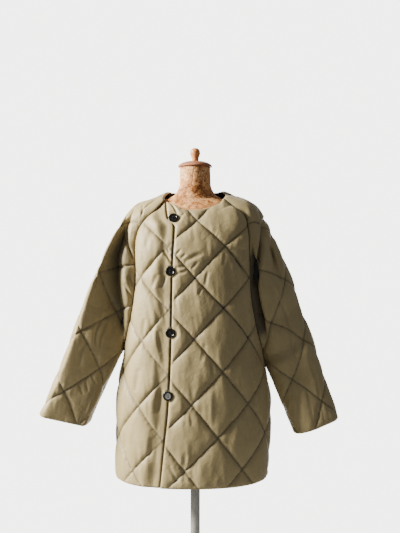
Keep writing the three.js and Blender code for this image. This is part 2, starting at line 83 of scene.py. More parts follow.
def ramp(tree, share, stops):
    """A colour for each share from 0 to 1, between stops of (share, colour)."""
    node = wire(tree, "ShaderNodeValToRGB", {"Fac": share})
    band = node.color_ramp
    while len(band.elements) < len(stops):
        band.elements.new(1.0)
    for element, (position, colour) in zip(band.elements, stops):
        element.position = position
        element.color = (*colour, 1)
    return node.outputs["Color"]


def dress(tree, shader, colour, roughness, **values):
    """Gives the shader its colour and roughness, each a socket or a plain value, and sets others of
    its inputs, named with _ for a space."""
    for name, value in {"Base Color": colour, "Roughness": roughness, **values}.items():
        socket = shader.inputs[name.replace("_", " ")]
        if isinstance(value, bpy.types.NodeSocket):
            tree.links.new(value, socket)
        else:
            socket.default_value = value


camera = bpy.data.objects.new("camera", bpy.data.cameras.new("camera"))
camera.location = (CAMERA_ASIDE / 1000, -CAMERA_AWAY / 1000, CHEST_LINE / 1000)
camera.rotation_euler = (math.pi / 2, 0, 0)
camera.data.sensor_width = SENSOR
camera.data.lens = SENSOR * PIXELS_PER_RADIAN / LONG_SIDE_PIXELS
bpy.context.scene.collection.objects.link(camera)
bpy.context.scene.camera = camera

window_light = bpy.data.lights.new("window_lamp", "AREA")
window_light.size = LAMP_SIZE
window_light.energy = LAMP_WATTS
window_light.color = LAMP_COLOUR
window_lamp = bpy.data.objects.new("window_lamp", window_light)
window_lamp.location = LAMP_PLACE
window_lamp.rotation_euler = (Vector(LAMP_AIM) - Vector(LAMP_PLACE)).to_track_quat("-Z", "Y").to_euler()
window_lamp.visible_camera = False
bpy.context.scene.collection.objects.link(window_lamp)

surround = bpy.data.worlds.new("surround")
surround.use_nodes = True
bpy.context.scene.world = surround
sky = surround.node_tree
sky_way = sky.nodes.new("ShaderNodeTexCoord").outputs["Generated"]
sky_side = wire(sky, "ShaderNodeSeparateXYZ", {"Vector": sky_way}).outputs["Y"]
background = sky.nodes["Background"]
sky.links.new(ramp(sky, sky_side, SURROUND_COLOURS), background.inputs["Color"])
background.inputs["Strength"].default_value = SURROUND_STRENGTH

floor_turns = np.linspace(0, 2 * np.pi, FLOOR_SIDES, endpoint=False)
floor_rim = FLOOR_RADIUS * np.stack([np.cos(floor_turns), np.sin(floor_turns), 0 * floor_turns], 1)
floor_mesh = bpy.data.meshes.new("floor")
floor_mesh.from_pydata(floor_rim.tolist(), [], [list(range(len(floor_rim)))])
floor = bpy.data.objects.new("floor", floor_mesh)
bpy.context.scene.collection.objects.link(floor)
floor_finish, tree, shader = shader_of("pale_floor")
dress(tree, shader, FLOOR_COLOUR, 0.85)
floor_mesh.materials.append(floor_finish)


# Stand base: a spun steel disc with a rolled rim, weighted inside and painted dark, the pole's
# socket raised in its middle.
BASE_RADIUS = 165
BASE_THICK = 22
BASE_SIDES = 128


def own_place(tree):
    """The object's own coordinates, in metres."""
    return tree.nodes.new("ShaderNodeTexCoord").outputs["Object"]


def speckle(tree, scale, detail=4.0, distortion=0.0, place=None):
    """Soft noise over the object, from 0 to 1, with so many grains to a metre."""
    sizes = {"Vector": place or own_place(tree), "Scale": scale, "Detail": detail, "Distortion": distortion}
    return wire(tree, "ShaderNodeTexNoise", sizes).outputs["Fac"]


def blend(tree, share, below, above, kind="MIX"):
    """Two colours mixed by a share, or one multiplied by the other."""
    node = wire(tree, "ShaderNodeMix", {}, data_type="RGBA", blend_type=kind)
    for key, value in ((0, share), (6, below), (7, above)):
        if isinstance(value, bpy.types.NodeSocket):
            tree.links.new(value, node.inputs[key])
        else:
            node.inputs[key].default_value = value if key == 0 else (*value, 1)
    return node.outputs[2]


def spread(tree, share, low, high):
    """A share from 0 to 1 as a number from low to high."""
    return wire(tree, "ShaderNodeMapRange", {"Value": share, "To Min": low, "To Max": high}).outputs[0]


def relief(tree, shader, height, depth, after=None):
    """Bumps the shader by a height from 0 to 1 that stands for a depth in metres."""
    sizes = {"Height": height, "Distance": depth, "Strength": 1.0}
    if after:
        sizes["Normal"] = after
    normal = wire(tree, "ShaderNodeBump", sizes).outputs["Normal"]
    tree.links.new(normal, shader.inputs["Normal"])
    return normal


def make(name, points, triangles, finishes, slot, stands_for, finish_of=None):
    """One piece from points in millimetres and rows of three point numbers, smooth, riding on the
    part's one body. finish_of gives each triangle's place in the list of finishes."""
    mesh = bpy.data.meshes.new(name)
    mesh.vertices.add(len(points))
    mesh.vertices.foreach_set("co", (np.asarray(points) / 1000).astype(np.float32).ravel())
    mesh.loops.add(3 * len(triangles))
    mesh.loops.foreach_set("vertex_index", np.asarray(triangles, np.int32).ravel())
    mesh.polygons.add(len(triangles))
    mesh.polygons.foreach_set("loop_start", np.arange(0, 3 * len(triangles), 3, dtype=np.int32))
    mesh.polygons.foreach_set("use_smooth", np.ones(len(triangles), bool))
    for finish in finishes:
        mesh.materials.append(finish)
    if finish_of is not None:
        mesh.polygons.foreach_set("material_index", np.asarray(finish_of, np.int32))
    mesh.update(calc_edges=True)
    mesh.validate()
    piece = bpy.data.objects.new(name, mesh)
    bpy.context.scene.collection.objects.link(piece)
    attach(piece, "root")
    if stands_for:
        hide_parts(*stands_for)
    return piece


def closed_rings(rings):
    """The skin of a stack of rings, (levels, sides, 3): each ring is joined to the next and both ends
    are closed to a pole at the ring's mean. Rings run anticlockwise seen from the last one."""
    levels, sides, _ = rings.shape
    points = np.concatenate([rings.reshape(-1, 3), rings[0].mean(0)[None], rings[-1].mean(0)[None]])
    a = np.arange(levels - 1)[:, None] * sides + np.arange(sides)[None]
    b = np.arange(levels - 1)[:, None] * sides + (np.arange(sides)[None] + 1) % sides
    walls = np.concatenate([np.stack([a, b, b + sides], -1), np.stack([a, b + sides, a + sides], -1)])
    walls = walls.reshape(-1, 3)
    k = np.arange(sides)
    after = (k + 1) % sides
    top = (levels - 1) * sides
    low_pole = np.stack([after, k, np.full(sides, levels * sides)], 1)
    high_pole = np.stack([top + k, top + after, np.full(sides, levels * sides + 1)], 1)
    return points, np.concatenate([walls, low_pole, high_pole])


def eased(profile, reach):
    """A profile whose inner corners are rounded: each is replaced by the parabola from a point that
    far before it, or half a side if that is less, to one as far behind it."""
    corners = np.asarray(profile, float)
    before, corner, after = corners[:-2], corners[1:-1], corners[2:]
    back, ahead = before - corner, after - corner
    far_back = np.linalg.norm(back, axis=1, keepdims=True)
    far_ahead = np.linalg.norm(ahead, axis=1, keepdims=True)
    start = corner + back / far_back * np.minimum(reach, 0.48 * far_back)
    end = corner + ahead / far_ahead * np.minimum(reach, 0.48 * far_ahead)
    t = np.linspace(0, 1, 6)[None, :, None]
    arcs = (1 - t) ** 2 * start[:, None] + 2 * t * (1 - t) * corner[:, None] + t**2 * end[:, None]
    return np.concatenate([corners[:1], arcs.reshape(-1, 2), corners[-1:]])


def turned(profile, sides, centre, low):
    """A turned piece: its profile of (radius, rise) carried round the upright line through centre,
    from the height low. The ends on the line become poles."""
    rim = profile[profile[:, 0] > 1e-6]
    turns = np.linspace(0, 2 * np.pi, sides, endpoint=False)
    radius, rise = rim[:, 0][:, None], rim[:, 1][:, None]
    x, y = centre[0] + radius * np.cos(turns), centre[1] + radius * np.sin(turns)
    return closed_rings(np.stack([x, y, low + rise + 0 * turns], -1))


base_profile = eased(
    [
        (0, 0), (BASE_RADIUS - 3, 0), (BASE_RADIUS, 3), (BASE_RADIUS, 8), (BASE_RADIUS - 5, 12),
        (60, BASE_THICK - 3), (34, BASE_THICK - 1), (24, BASE_THICK), (0, BASE_THICK),
    ],
    3,
)
base_paint, tree, shader = shader_of("base_paint")
dust = speckle(tree, 30, 6, 0.4)
scuffs = speckle(tree, 220, 3, 1.5)
paint = ramp(tree, dust, [(0.35, (0.022, 0.021, 0.02)), (0.62, (0.045, 0.043, 0.04))])
scuffed = blend(tree, spread(tree, scuffs, 0.0, 0.25), paint, (0.11, 0.105, 0.1))
dress(tree, shader, scuffed, spread(tree, dust, 0.38, 0.62))
relief(tree, shader, scuffs, 0.00008)
base_skin = turned(base_profile, BASE_SIDES, (0, 0), 0)
make("painted_base", *base_skin, [base_paint], "base_paint", ["stand_base"])


# Pole: a drawn steel tube, brushed lengthwise, that stands in the base's socket and runs up into
# the form's foot.
POLE_RADIUS = 14
FACE_GAP = 0.3
FORM_FOOT = -430
POLE_LOW = BASE_THICK + FACE_GAP
POLE_TALL = CHEST_LINE + FORM_FOOT - BASE_THICK - 2 * FACE_GAP

pole_profile = eased([(0, 0), (POLE_RADIUS, 0), (POLE_RADIUS, POLE_TALL), (0, POLE_TALL)], 1)
pole_steel, tree, shader = shader_of("pole_steel")
drawn = wire(tree, "ShaderNodeMapping", {"Vector": own_place(tree), "Scale": (1, 1, 0.02)}).outputs["Vector"]
brushed = speckle(tree, 1800, 3, 0, drawn)
stain = speckle(tree, 40, 5, 0.6)
steel = ramp(tree, stain, [(0.35, (0.30, 0.30, 0.285)), (0.6, (0.42, 0.42, 0.40))])
dress(tree, shader, steel, spread(tree, brushed, 0.34, 0.5), Metallic=0.45)
relief(tree, shader, brushed, 0.00003)
make("steel_pole", *turned(pole_profile, 64, (0, 0), POLE_LOW), [pole_steel], "pole_steel", ["pole"])


# Form: layered papier mache on a turned mould, limbless, with a flat foot, sloped shoulders and a
# straight neck; varnished long ago, and mottled where the brown under-layers show through.
NECK_RADIUS = 45.5
NECK_TOP = 297
FORM_SIDES = 220
TRUNK_STEP = 4.5
NECK_STEP = 1.6
NECK_LOW = 178
PAPER_RELIEF = 0.5
CRACK_WANDER = 1.2
RUB_DEPTH = 0.7
RUBBED_MOST = 0.85


def table(names, rows):
    """Reads a table with named columns at any places of its first column. Between two rows a value
    runs on 3tt - 2ttt, leaning by the slope at each row, which is the harmonic mean of the rises on
    its two sides, or none where the rises differ in sign, so it never swings past the rows."""
    values = np.array(rows, float)
    places, columns = values[:, 0], values[:, 1:]
    steps = np.diff(places)[:, None]
    rises = np.diff(columns, axis=0) / steps
    alike = rises[:-1] * rises[1:] > 0
    total = np.where(alike, rises[:-1] + rises[1:], 1)
    middle = np.where(alike, 2 * rises[:-1] * rises[1:] / total, 0)
    slopes = np.concatenate([rises[:1], middle, rises[-1:]])

    def read(name, place):
        c = names.index(name) - 1
        at = np.clip(np.asarray(place, float), places[0], places[-1])
        i = np.clip(np.searchsorted(places, at) - 1, 0, len(places) - 2)
        step = steps[i, 0]
        t = (at - places[i]) / step
        lean = slopes[i, c] * t * (1 - t) ** 2 - slopes[i + 1, c] * t * t * (1 - t)
        return columns[i, c] + (columns[i + 1, c] - columns[i, c]) * t * t * (3 - 2 * t) + step * lean

    return read


def unit(vectors):
    """Vectors drawn to a length of one."""
    return vectors / np.maximum(np.linalg.norm(vectors, axis=-1, keepdims=True), 1e-9)


def power(value, exponent):
    """A power that keeps the sign."""
    return np.sign(value) * np.abs(value) ** exponent


def smooth(low, high, x):
    """0 below low, 1 above high, and 3tt - 2ttt between them."""
    t = np.clip((x - low) / (high - low), 0, 1)
    return t * t * (3 - 2 * t)


def hashed(i, j, seed):
    """A fixed scattered number from -1 to 1 for each pair of whole numbers."""
    n = i.astype(np.int64) * 374761393 + j.astype(np.int64) * 668265263 + seed * 144269504
    n = ((n ^ (n >> 13)) * 1274126177) & 0xFFFFFFFF
    return ((n ^ (n >> 16)) & 0xFFFF) / 32767.5 - 1


def cloud(u, v, seed):
    """Smooth noise from -1 to 1: the scattered numbers at the four whole places round (u, v), mixed
    by 3tt - 2ttt along both ways."""
    i, j = np.floor(u), np.floor(v)
    s, t = smooth(0, 1, u - i), smooth(0, 1, v - j)
    low = hashed(i, j, seed) * (1 - s) + hashed(i + 1, j, seed) * s
    high = hashed(i, j + 1, seed) * (1 - s) + hashed(i + 1, j + 1, seed) * s
    return low * (1 - t) + high * t


FORM = table(
    ["height", "halfWidth", "front", "back", "y"],
    [
        (FORM_FOOT, 148, 96, 104, 0), (-380, 162, 106, 112, 0), (-300, 158, 104, 110, 0),
        (-180, 120, 84, 84, 0), (-60, 142, 104, 92, 0), (30, 156, 108, 98, 0), (100, 164, 98, 95, 0),
        (140, 168, 84, 84, 0), (165, 166, 71, 72, 0), (180, 158, 58, 63, 0), (189, 142, 51, 58, 0),
        (196, 116, 46, 54, 0), (203, 82, 43, 52, 0), (219, 58, 45, 49, 3),
        (246, NECK_RADIUS + 1.5, NECK_RADIUS, NECK_RADIUS + 1, 3),
        (NECK_TOP, NECK_RADIUS, NECK_RADIUS, NECK_RADIUS, 3),
    ],
)
NECK_CRACKS = [
    (1.3, 1.0, -4, 296, -7, 270, -10, 236), (1.2, 0.9, -6, 230, 6, 219, 20, 205),
    (1.0, 0.6, 14, 296, 8, 262, 3, 240), (1.0, 0.5, 30, 284, 34, 250, 28, 226),
    (1.4, 0.6, -38, 208, -20, 202, -2, 206, 14, 200), (1.6, 0.6, 20, 222, 36, 214, 48, 203),
    (0.9, 0.35, -30, 262, -34, 240, -28, 224),
]


def near_path(place, path):
    """How far places in a plane lie from a path of straight runs, and their share of the way along."""
    ways = np.diff(path, axis=0)
    spans = np.linalg.norm(ways, axis=1)
    begun = np.concatenate([[0], np.cumsum(spans)])
    least, share = np.full(place.shape[:-1], 1e6), np.zeros(place.shape[:-1])
    for start, way, span, before in zip(path, ways, spans, begun):
        along = np.clip((place - start) @ way / span**2, 0, 1)
        off = np.linalg.norm(place - start - along[..., None] * way, axis=-1)
        share = np.where(off < least, (before + along * span) / begun[-1], share)
        least = np.minimum(off, least)
    return least, share


def form_rings():
    """Level superellipses: at each height the turn runs round, x is the half width and y the front or
    back depth, times the sine and cosine to a power that grows from 0.9 to 1.1 over the chest. Torn
    paper layers and cracks lower the skin by up to a millimetre; a crack gives its width, its strength
    and then x and height for every place of its path. Gives the rings, and at each point how dark the
    brown under-layer shows, from 0 to 1."""
    trunk = np.linspace(FORM_FOOT, NECK_LOW, round((NECK_LOW - FORM_FOOT) / TRUNK_STEP) + 1)
    neck = np.linspace(NECK_LOW, NECK_TOP, round((NECK_TOP - NECK_LOW) / NECK_STEP) + 1)
    height = np.concatenate([trunk, neck[1:]])[:, None]
    turn = np.linspace(0, 2 * np.pi, FORM_SIDES, endpoint=False)[None]
    squareness = 0.9 + 0.2 * smooth(60, 150, height) - 0.1 * smooth(200, 246, height)
    deep = np.where(np.cos(turn) > 0, FORM("front", height), FORM("back", height))
    x = FORM("halfWidth", height) * power(np.sin(turn), squareness)
    y = FORM("y", height) - deep * power(np.cos(turn), squareness)
    z = CHEST_LINE + height + 0 * turn
    layers = cloud(turn * 28 / np.pi, height / 14, 3) + 0.6 * cloud(turn * 60 / np.pi, height / 5, 4)
    place = np.stack([x, height + 0 * turn], -1)
    dark = 0 * x
    wander = CRACK_WANDER * cloud(place[..., 1:] / 5, place[..., :1] / 7, 9)
    for width, strength, *path in NECK_CRACKS:
        off, share = near_path(place + wander, np.reshape(path, (-1, 2)))
        runs_out = np.clip(6 * share * (1 - share), 0, 1)
        dark = np.maximum(dark, strength * np.exp(-((off / width) ** 2)) * runs_out)
    patches = cloud(turn * 24 / np.pi + 4, height / 7, 21)
    patches = patches + 0.7 * cloud(turn * 60 / np.pi, height / 3, 22)
    rubbed = smooth(0.15, 0.85, patches)
    band = smooth(196, 206, height) * (1 - smooth(222, 238, height))
    dark = np.maximum(dark, RUBBED_MOST * rubbed * (0.3 + 0.7 * band))
    sunk = PAPER_RELIEF * (0.5 - 0.31 * layers) + RUB_DEPTH * dark
    outward = unit(np.stack([x, y, 0 * z], -1))
    rings = np.stack([x, y, z], -1)
    rings[1:-1] -= (outward * sunk[..., None])[1:-1]
    return rings, dark


papier_mache, tree, shader = shader_of("papier_mache")
blotches = speckle(tree, 22, 6, 0.8)
fibres = speckle(tree, 160, 5, 2.0)
scraps = wire(tree, "ShaderNodeTexVoronoi", {"Vector": own_place(tree), "Scale": 34.0, "Randomness": 1.0})
paper = ramp(
    tree,
    blotches,
    [
        (0.30, (0.42, 0.185, 0.066)), (0.43, (0.73, 0.385, 0.165)), (0.55, (0.88, 0.515, 0.245)),
        (0.72, (0.94, 0.620, 0.335)),
    ],
)
torn = ramp(tree, scraps.outputs["Color"], [(0.2, (0.82, 0.76, 0.70)), (0.8, (1.04, 1.02, 1.0))])
specks = ramp(tree, fibres, [(0.36, (0.40, 0.28, 0.19)), (0.47, (1, 1, 1))])
layered = blend(tree, 1.0, paper, torn, "MULTIPLY")
flakes = speckle(tree, 80, 5, 1.6)
flaked = ramp(tree, flakes, [(0.40, (0.40, 0.29, 0.21)), (0.49, (0.90, 0.86, 0.82)), (0.58, (1, 1, 1))])
mottled = blend(tree, 0.9, layered, flaked, "MULTIPLY")
flecked = blend(tree, 0.8, mottled, specks, "MULTIPLY")
bared = wire(tree, "ShaderNodeAttribute", {}, attribute_name="bared").outputs["Fac"]
aged = blend(tree, spread(tree, bared, 0.0, 0.85), flecked, (0.17, 0.072, 0.028))
dress(tree, shader, aged, spread(tree, fibres, 0.42, 0.70), Specular_IOR_Level=0.12)
first = relief(tree, shader, scraps.outputs["Distance"], 0.0006)
relief(tree, shader, fibres, 0.0005, first)
rings, dark = form_rings()
form_piece = make("paper_form", *closed_rings(rings), [papier_mache], "papier_mache", ["dress_form"])
shade = np.concatenate([dark.ravel(), [0, 0]]).astype(np.float32)
form_piece.data.attributes.new("bared", "FLOAT", "POINT").data.foreach_set("value", shade)


# Neck cap and knob: two pieces of turned hardwood, stained red-brown and orange-brown under a
# clear varnish; the knob's tenon is glued into the cap.
CAP_RADIUS = 51.7
CAP_THICK = 18
KNOB_RADIUS = 14
KNOB_TALL = 39
NECK_MIDDLE = (0, 3)
CAP_LOW = CHEST_LINE + NECK_TOP + FACE_GAP


def varnished_wood(name, dark, light, coarse):
    """Straight-grained wood under varnish: long dark pores and rings along the upright."""
    made, tree, shader = shader_of(name)
    upright = wire(tree, "ShaderNodeMapping", {"Vector": own_place(tree), "Scale": (1, 0.25, 1)})
    along = upright.outputs["Vector"]
    rings = speckle(tree, coarse, 8, 1.2, along)
    pores = speckle(tree, coarse * 9, 2, 0, along)
    body = ramp(tree, rings, [(0.3, dark), (0.7, light)])
    flecks = ramp(tree, pores, [(0.36, (0.55, 0.5, 0.45)), (0.5, (1, 1, 1))])
    stained = blend(tree, 0.7, body, flecks, "MULTIPLY")
    varnish = {"Specular_IOR_Level": 0.3, "Coat_Weight": 0.06, "Coat_Roughness": 0.12}
    dress(tree, shader, stained, spread(tree, rings, 0.3, 0.45), **varnish)
    relief(tree, shader, pores, 0.0001)
    return made


cap_wood = varnished_wood("cap_wood", (0.22, 0.085, 0.045), (0.46, 0.195, 0.105), 60)
knob_wood = varnished_wood("knob_wood", (0.50, 0.19, 0.055), (0.74, 0.34, 0.115), 90)
cap_profile = eased(
    [
        (0, 0), (CAP_RADIUS - 4, 0), (CAP_RADIUS - 0.3, 1.2), (CAP_RADIUS, 3.4), (CAP_RADIUS - 1.4, 5.2),
        (CAP_RADIUS - 2.6, 7.0), (CAP_RADIUS - 9, 11.8), (CAP_RADIUS - 22, CAP_THICK - 1.5),
        (15, CAP_THICK), (0, CAP_THICK),
    ],
    1.5,
)
knob_profile = eased(
    [
        (0, 0), (9.8, 0), (10.2, 5), (11, 11), (13.4, 17), (KNOB_RADIUS + 1, 23),
        (KNOB_RADIUS + 0.6, 31), (11.6, 36.6), (6, KNOB_TALL + 0.8), (0, KNOB_TALL + 1),
    ],
    3,
)
make("turned_cap", *turned(cap_profile, 96, NECK_MIDDLE, CAP_LOW), [cap_wood], "cap_wood", ["neck_cap"])
knob_skin = turned(knob_profile, 64, NECK_MIDDLE, CAP_LOW + CAP_THICK + FACE_GAP)
make("turned_knob", *knob_skin, [knob_wood], "knob_wood", ["cap_knob"])


# The two fronts and the back: padded cloth, quilted in large diamonds through shell, wadding and
# lining, cut away along the raglan seams. One front's edge runs on hidden behind the other's.
HEM = -621
SHOULDER_ROW = 185
ROWS = 30
FINE = 12
INSIDE_STEP = 3
WALL = 3
SEAM_GAP = 0.32
PUFF = 7.0
PUFF_RUN = 12.5
PINCH = 3.1
PINCH_RUN = 2.8
EDGE_RUN = 11
ROLL = 3.4
ROLL_RADIUS = 5.5
GAP_SINK = 12
SLEEVE_LOFT = 0.6
DIAMOND_WIDE = 166
DIAMOND_TALL = 184
LATTICE_LOW = -584
LATTICE_FROM_EDGE = 63
NECK_SLACK = 21
OVERLAP_SLACK = (0, -11)
UNDERLAP_SLACK = (-9, -2)
WAIST = (-190, -40)
CHEST_TO_NECK = (40, 150)
EDGE_STRAIGHT_TO = 115
HIDDEN_STRAIGHT_TO = 100
UNDERLAP_SINK = 5
UNDERLAP_WIDTH = 78
UNDERARM_LEFT_ROW = 14
UNDERARM_RIGHT_ROW = 12
ROUNDNESS = 0.87
RING_STEP = 4
HALF_STEPS = 180
NECK_AT_EDGE = 189
NECK_AT_HIDDEN_EDGE = 158
NECK_AT_LEFT = {"front": 194, "back": 224}
NECK_AT_RIGHT = {"front": 200, "back": 225}

BODY = table(
    ["height", "middle", "halfWidth", "front", "back"],
    [
        (-621, -10, 221, 163, 150), (-500, -6, 227, 160, 148), (-400, -5, 226, 156, 145),
        (-300, -4, 215, 152, 142), (-250, -6, 206, 149, 140), (-170, -5, 201, 143, 136),
        (0, -3, 196, 131, 126), (100, -2, 192, 113, 112), (150, 0, 178, 92, 97), (185, 0, 138, 68, 81),
        (200, 0, 112, 54, 73), (226, 0, 84, 34, 62),
    ],
)
FRONT_EDGE = table(
    ["height", "x"],
    [
        (-621, -96), (-497, -83), (-415, -74), (-260, -66), (15, -61), (115, -56), (145, -77),
        (189, -84),
    ],
)
RAGLAN_LEFT = table(
    ["height", "front", "back"],
    [
        (-245, -211, -211), (-172, -193, -188), (-108, -180, -172), (-20, -173, -166), (62, -175, -165),
        (101, -168, -160), (134, -149, -147), (163, -117, -126), (194, -90, -104), (224, -72, -72),
    ],
)
RAGLAN_RIGHT = table(
    ["height", "front", "back"],
    [
        (-298, 211, 211), (-259, 200, 199), (-181, 180, 181), (-69, 161, 170), (34, 158, 166),
        (95, 155, 160), (143, 147, 147), (172, 115, 118), (200, 83, 98), (225, 74, 71),
    ],
)
NECK_OVER = table(
    ["x", "height"],
    [(-84, 189), (-59, 179), (-36, 166), (-15, 163.5), (10, 165), (43, 172), (70, 184), (83, 200)],
)
NECK_UNDER = table(
    ["x", "height"],
    [(-90, 194), (-75, 180), (-59, 171), (-36, 160), (-15, 157.5), (10, 158)],
)


def ring_point(height, turn):
    """The body's level superellipse: x is its middle plus the half width times the sine to a power, y
    the front or back depth times the cosine to that power."""
    deep = np.where(np.cos(turn) > 0, BODY("front", height), BODY("back", height))
    x = BODY("middle", height) + BODY("halfWidth", height) * power(np.sin(turn), ROUNDNESS)
    return np.stack([x, -deep * power(np.cos(turn), ROUNDNESS), CHEST_LINE + height + 0 * turn], -1)


def between(values, row, column):
    """Reads a grid of values at fractional rows and columns, mixing the four round each."""
    i = np.clip(np.floor(row).astype(int), 0, values.shape[0] - 2)
    j = np.clip(np.floor(column).astype(int), 0, values.shape[1] - 2)
    s, t = np.clip(row - i, 0, 1), np.clip(column - j, 0, 1)
    low = values[i, j] * (1 - s) + values[i + 1, j] * s
    high = values[i, j + 1] * (1 - s) + values[i + 1, j + 1] * s
    return low * (1 - t) + high * t


def half_ring(back):
    """Walks every level's front or back half by its length. Reach is the length from the middle line
    x = 0. Gives how far a place x lies, which turn lies at a reach, and the reach of both ends."""
    heights = np.arange(HEM, 231, RING_STEP, dtype=float)[:, None]
    steps = np.linspace(-np.pi / 2, np.pi / 2, HALF_STEPS + 1)[None]
    points = ring_point(heights, np.pi - steps if back else steps)
    sides = np.linalg.norm(np.diff(points, axis=1), axis=2)
    lengths = np.concatenate([np.zeros((len(heights), 1)), np.cumsum(sides, 1)], 1)

    def turn_of(height, x):
        share = np.clip((x - BODY("middle", height)) / BODY("halfWidth", height), -1, 1)
        return np.arcsin(power(share, 1 / ROUNDNESS))

    def level(height):
        return (height - HEM) / RING_STEP

    def walked(height, x):
        return between(lengths, level(height), (turn_of(height, x) / np.pi + 0.5) * HALF_STEPS)

    whole = lengths[:, -1:]
    even = np.linspace(0, 1, HALF_STEPS + 1)
    turns = np.stack([np.interp(even, row / row[-1], steps[0]) for row in lengths])

    def reach_at(height, x):
        return walked(height, x) - walked(height, 0)

    def ends(height):
        zero = walked(height, 0)
        return -zero, between(np.repeat(whole, 2, 1), level(height), 0 * height) - zero

    def turn_at(height, reach):
        low, high = ends(height)
        turn = between(turns, level(height), (reach - low) / (high - low) * HALF_STEPS)
        return np.pi - turn if back else turn

    return reach_at, turn_at, ends


def lattice_middle(height):
    """The x of the line of diamonds that both fronts count from."""
    return FRONT_EDGE("x", np.minimum(height, EDGE_STRAIGHT_TO)) + LATTICE_FROM_EDGE


def hidden_edge(height):
    """The x of the underlap's edge behind the overlap."""
    return FRONT_EDGE("x", np.minimum(height, HIDDEN_STRAIGHT_TO)) + UNDERLAP_WIDTH


def refined(values):
    """Finer rows between coarse ones, FINE to each: a cubic that at each coarse row has the slope from
    the row before to the row after."""
    at = np.arange((len(values) - 1) * FINE + 1) / FINE
    i = np.minimum(at.astype(int), len(values) - 2)
    t = (at - i).reshape(-1, *[1] * (values.ndim - 1))
    padded = np.concatenate([2 * values[:1] - values[1:2], values, 2 * values[-1:] - values[-2:-1]])
    before, start, end, after = (padded[i + n] for n in range(4))
    bow = 2 * before - 5 * start + 4 * end - after
    twist = 3 * (start - end) + after - before
    return start + 0.5 * t * (end - before + t * (bow + t * twist))


def side_of(raglan, half, underarm_row, neck_at):
    """A front's or back's outer side, row by row: up the side seam, then along the raglan seam to the
    neck."""
    reach_at, _, ends = half_ring(half == "back")
    top_height = neck_at[half]
    row = np.arange(ROWS + 1)[:, None]
    share = np.clip((row - underarm_row) / (ROWS - underarm_row), 0, 1)
    low = HEM + (SHOULDER_ROW - HEM) * np.minimum(row, underarm_row) / ROWS
    start = HEM + (SHOULDER_ROW - HEM) * underarm_row / ROWS
    height = low + (top_height - start) * share
    x = raglan(half, height)
    rim = ends(height)[0 if x[-1, 0] < 0 else 1]
    reach = np.where(row > underarm_row, reach_at(height, x), rim)
    return {"height": refined(height), "x": refined(x), "reach": refined(reach), "top": top_height}


def edge_of(x, top_height):
    """A panel's open side, row by row, from the hem to the neck."""
    reach_at, _, _ = half_ring(False)
    height = HEM + (top_height - HEM) * np.arange(ROWS * FINE + 1)[:, None] / ROWS / FINE
    return {"height": height, "x": x(height), "reach": reach_at(height, x(height)), "top": top_height}


def body_panel(columns, back, near, far, top=None, slack=(0, 0)):
    """A panel's places: rows from hem to neck between a near and a far side, evenly spaced in each
    row, the last fifth of the rows bent to the neckline. Gives the points, their flat places in the
    diamonds' lattice, across and down, their reach and their height. Below the waist the lattice
    slips by the slack, and on the fronts it drops towards the neck."""
    _, turn_at, _ = half_ring(back)
    share = np.linspace(0, 1, columns + 1)[None]
    row = np.arange(ROWS * FINE + 1)[:, None] / ROWS / FINE
    height = near["height"] + (far["height"] - near["height"]) * share
    start, end = near["reach"], far["reach"]
    if top:
        rough = near["x"] + (far["x"] - near["x"]) * share
        bend = 0.5 * smooth(0.8, 1, row) + 0.5 * smooth(0.93, 1, row)
        height = height + (top(rough) - (near["top"] + (far["top"] - near["top"]) * share)) * bend
    reach = start + (end - start) * share
    low = 1 - smooth(*WAIST, height)
    across = (reach if back else reach - lattice_middle(height)) + slack[0] * low
    dropped = 0 if back else NECK_SLACK * smooth(*CHEST_TO_NECK, height)
    return {
        "points": ring_point(height, turn_at(height, reach)),
        "across": across,
        "down": height - LATTICE_LOW + dropped + slack[1] * low,
        "reach": reach,
        "height": height,
    }


OVERLAP_COLUMNS = 138
UNDERLAP_COLUMNS = 114
BACK_COLUMNS = 198
overlap = body_panel(
    OVERLAP_COLUMNS,
    False,
    edge_of(lambda height: FRONT_EDGE("x", height), NECK_AT_EDGE),
    side_of(RAGLAN_RIGHT, "front", UNDERARM_RIGHT_ROW, NECK_AT_RIGHT),
    lambda x: NECK_OVER("height", x),
    OVERLAP_SLACK,
)
underlap = body_panel(
    UNDERLAP_COLUMNS,
    False,
    side_of(RAGLAN_LEFT, "front", UNDERARM_LEFT_ROW, NECK_AT_LEFT),
    edge_of(hidden_edge, NECK_AT_HIDDEN_EDGE),
    lambda x: NECK_UNDER("height", x),
    UNDERLAP_SLACK,
)
back = body_panel(
    BACK_COLUMNS,
    True,
    side_of(RAGLAN_LEFT, "back", UNDERARM_LEFT_ROW, NECK_AT_LEFT),
    side_of(RAGLAN_RIGHT, "back", UNDERARM_RIGHT_ROW, NECK_AT_RIGHT),
)

# Sleeves: each cut in one piece, sewn to front and back along the raglan seams up to the neck and
# closed by one seam under the arm. They hang flattened, with deep folds at the armhole.
SLEEVE_COLUMNS = 150
ARMHOLE = 0.1
FOLD_EASE = 60
FOLD_START = 40
SEAM_HOLD = 0.024
NECK_THICK = 40
OVAL_STEPS = 180
OVERARM_LEFT = table(
    ["length", "x", "y", "height"],
    [
        (0, -87, 2, 216), (94, -174, 4, 184), (138, -203, 2, 151), (197, -232, -6, 100),
        (325, -287, -30, -14), (416, -322, -42, -97), (634, -396, -58, -302), (775, -450, -66, -433),
    ],
)
OVERARM_RIGHT = table(
    ["length", "x", "y", "height"],
    [
        (0, 88, 2, 219), (97, 178, 4, 185), (141, 204, 4, 149), (204, 231, 2, 91), (329, 282, -8, -23),
        (410, 308, -16, -100), (517, 348, -26, -201), (668, 393, -40, -348), (766, 424, -48, -444),
    ],
)
UNDERARM_LEFT = table(
    ["share", "x", "y", "height", "thick"],
    [(0, -211, 0, -245, 66), (0.3, -245, 4, -309, 56), (1, -319, 10, -466, 40)],
)
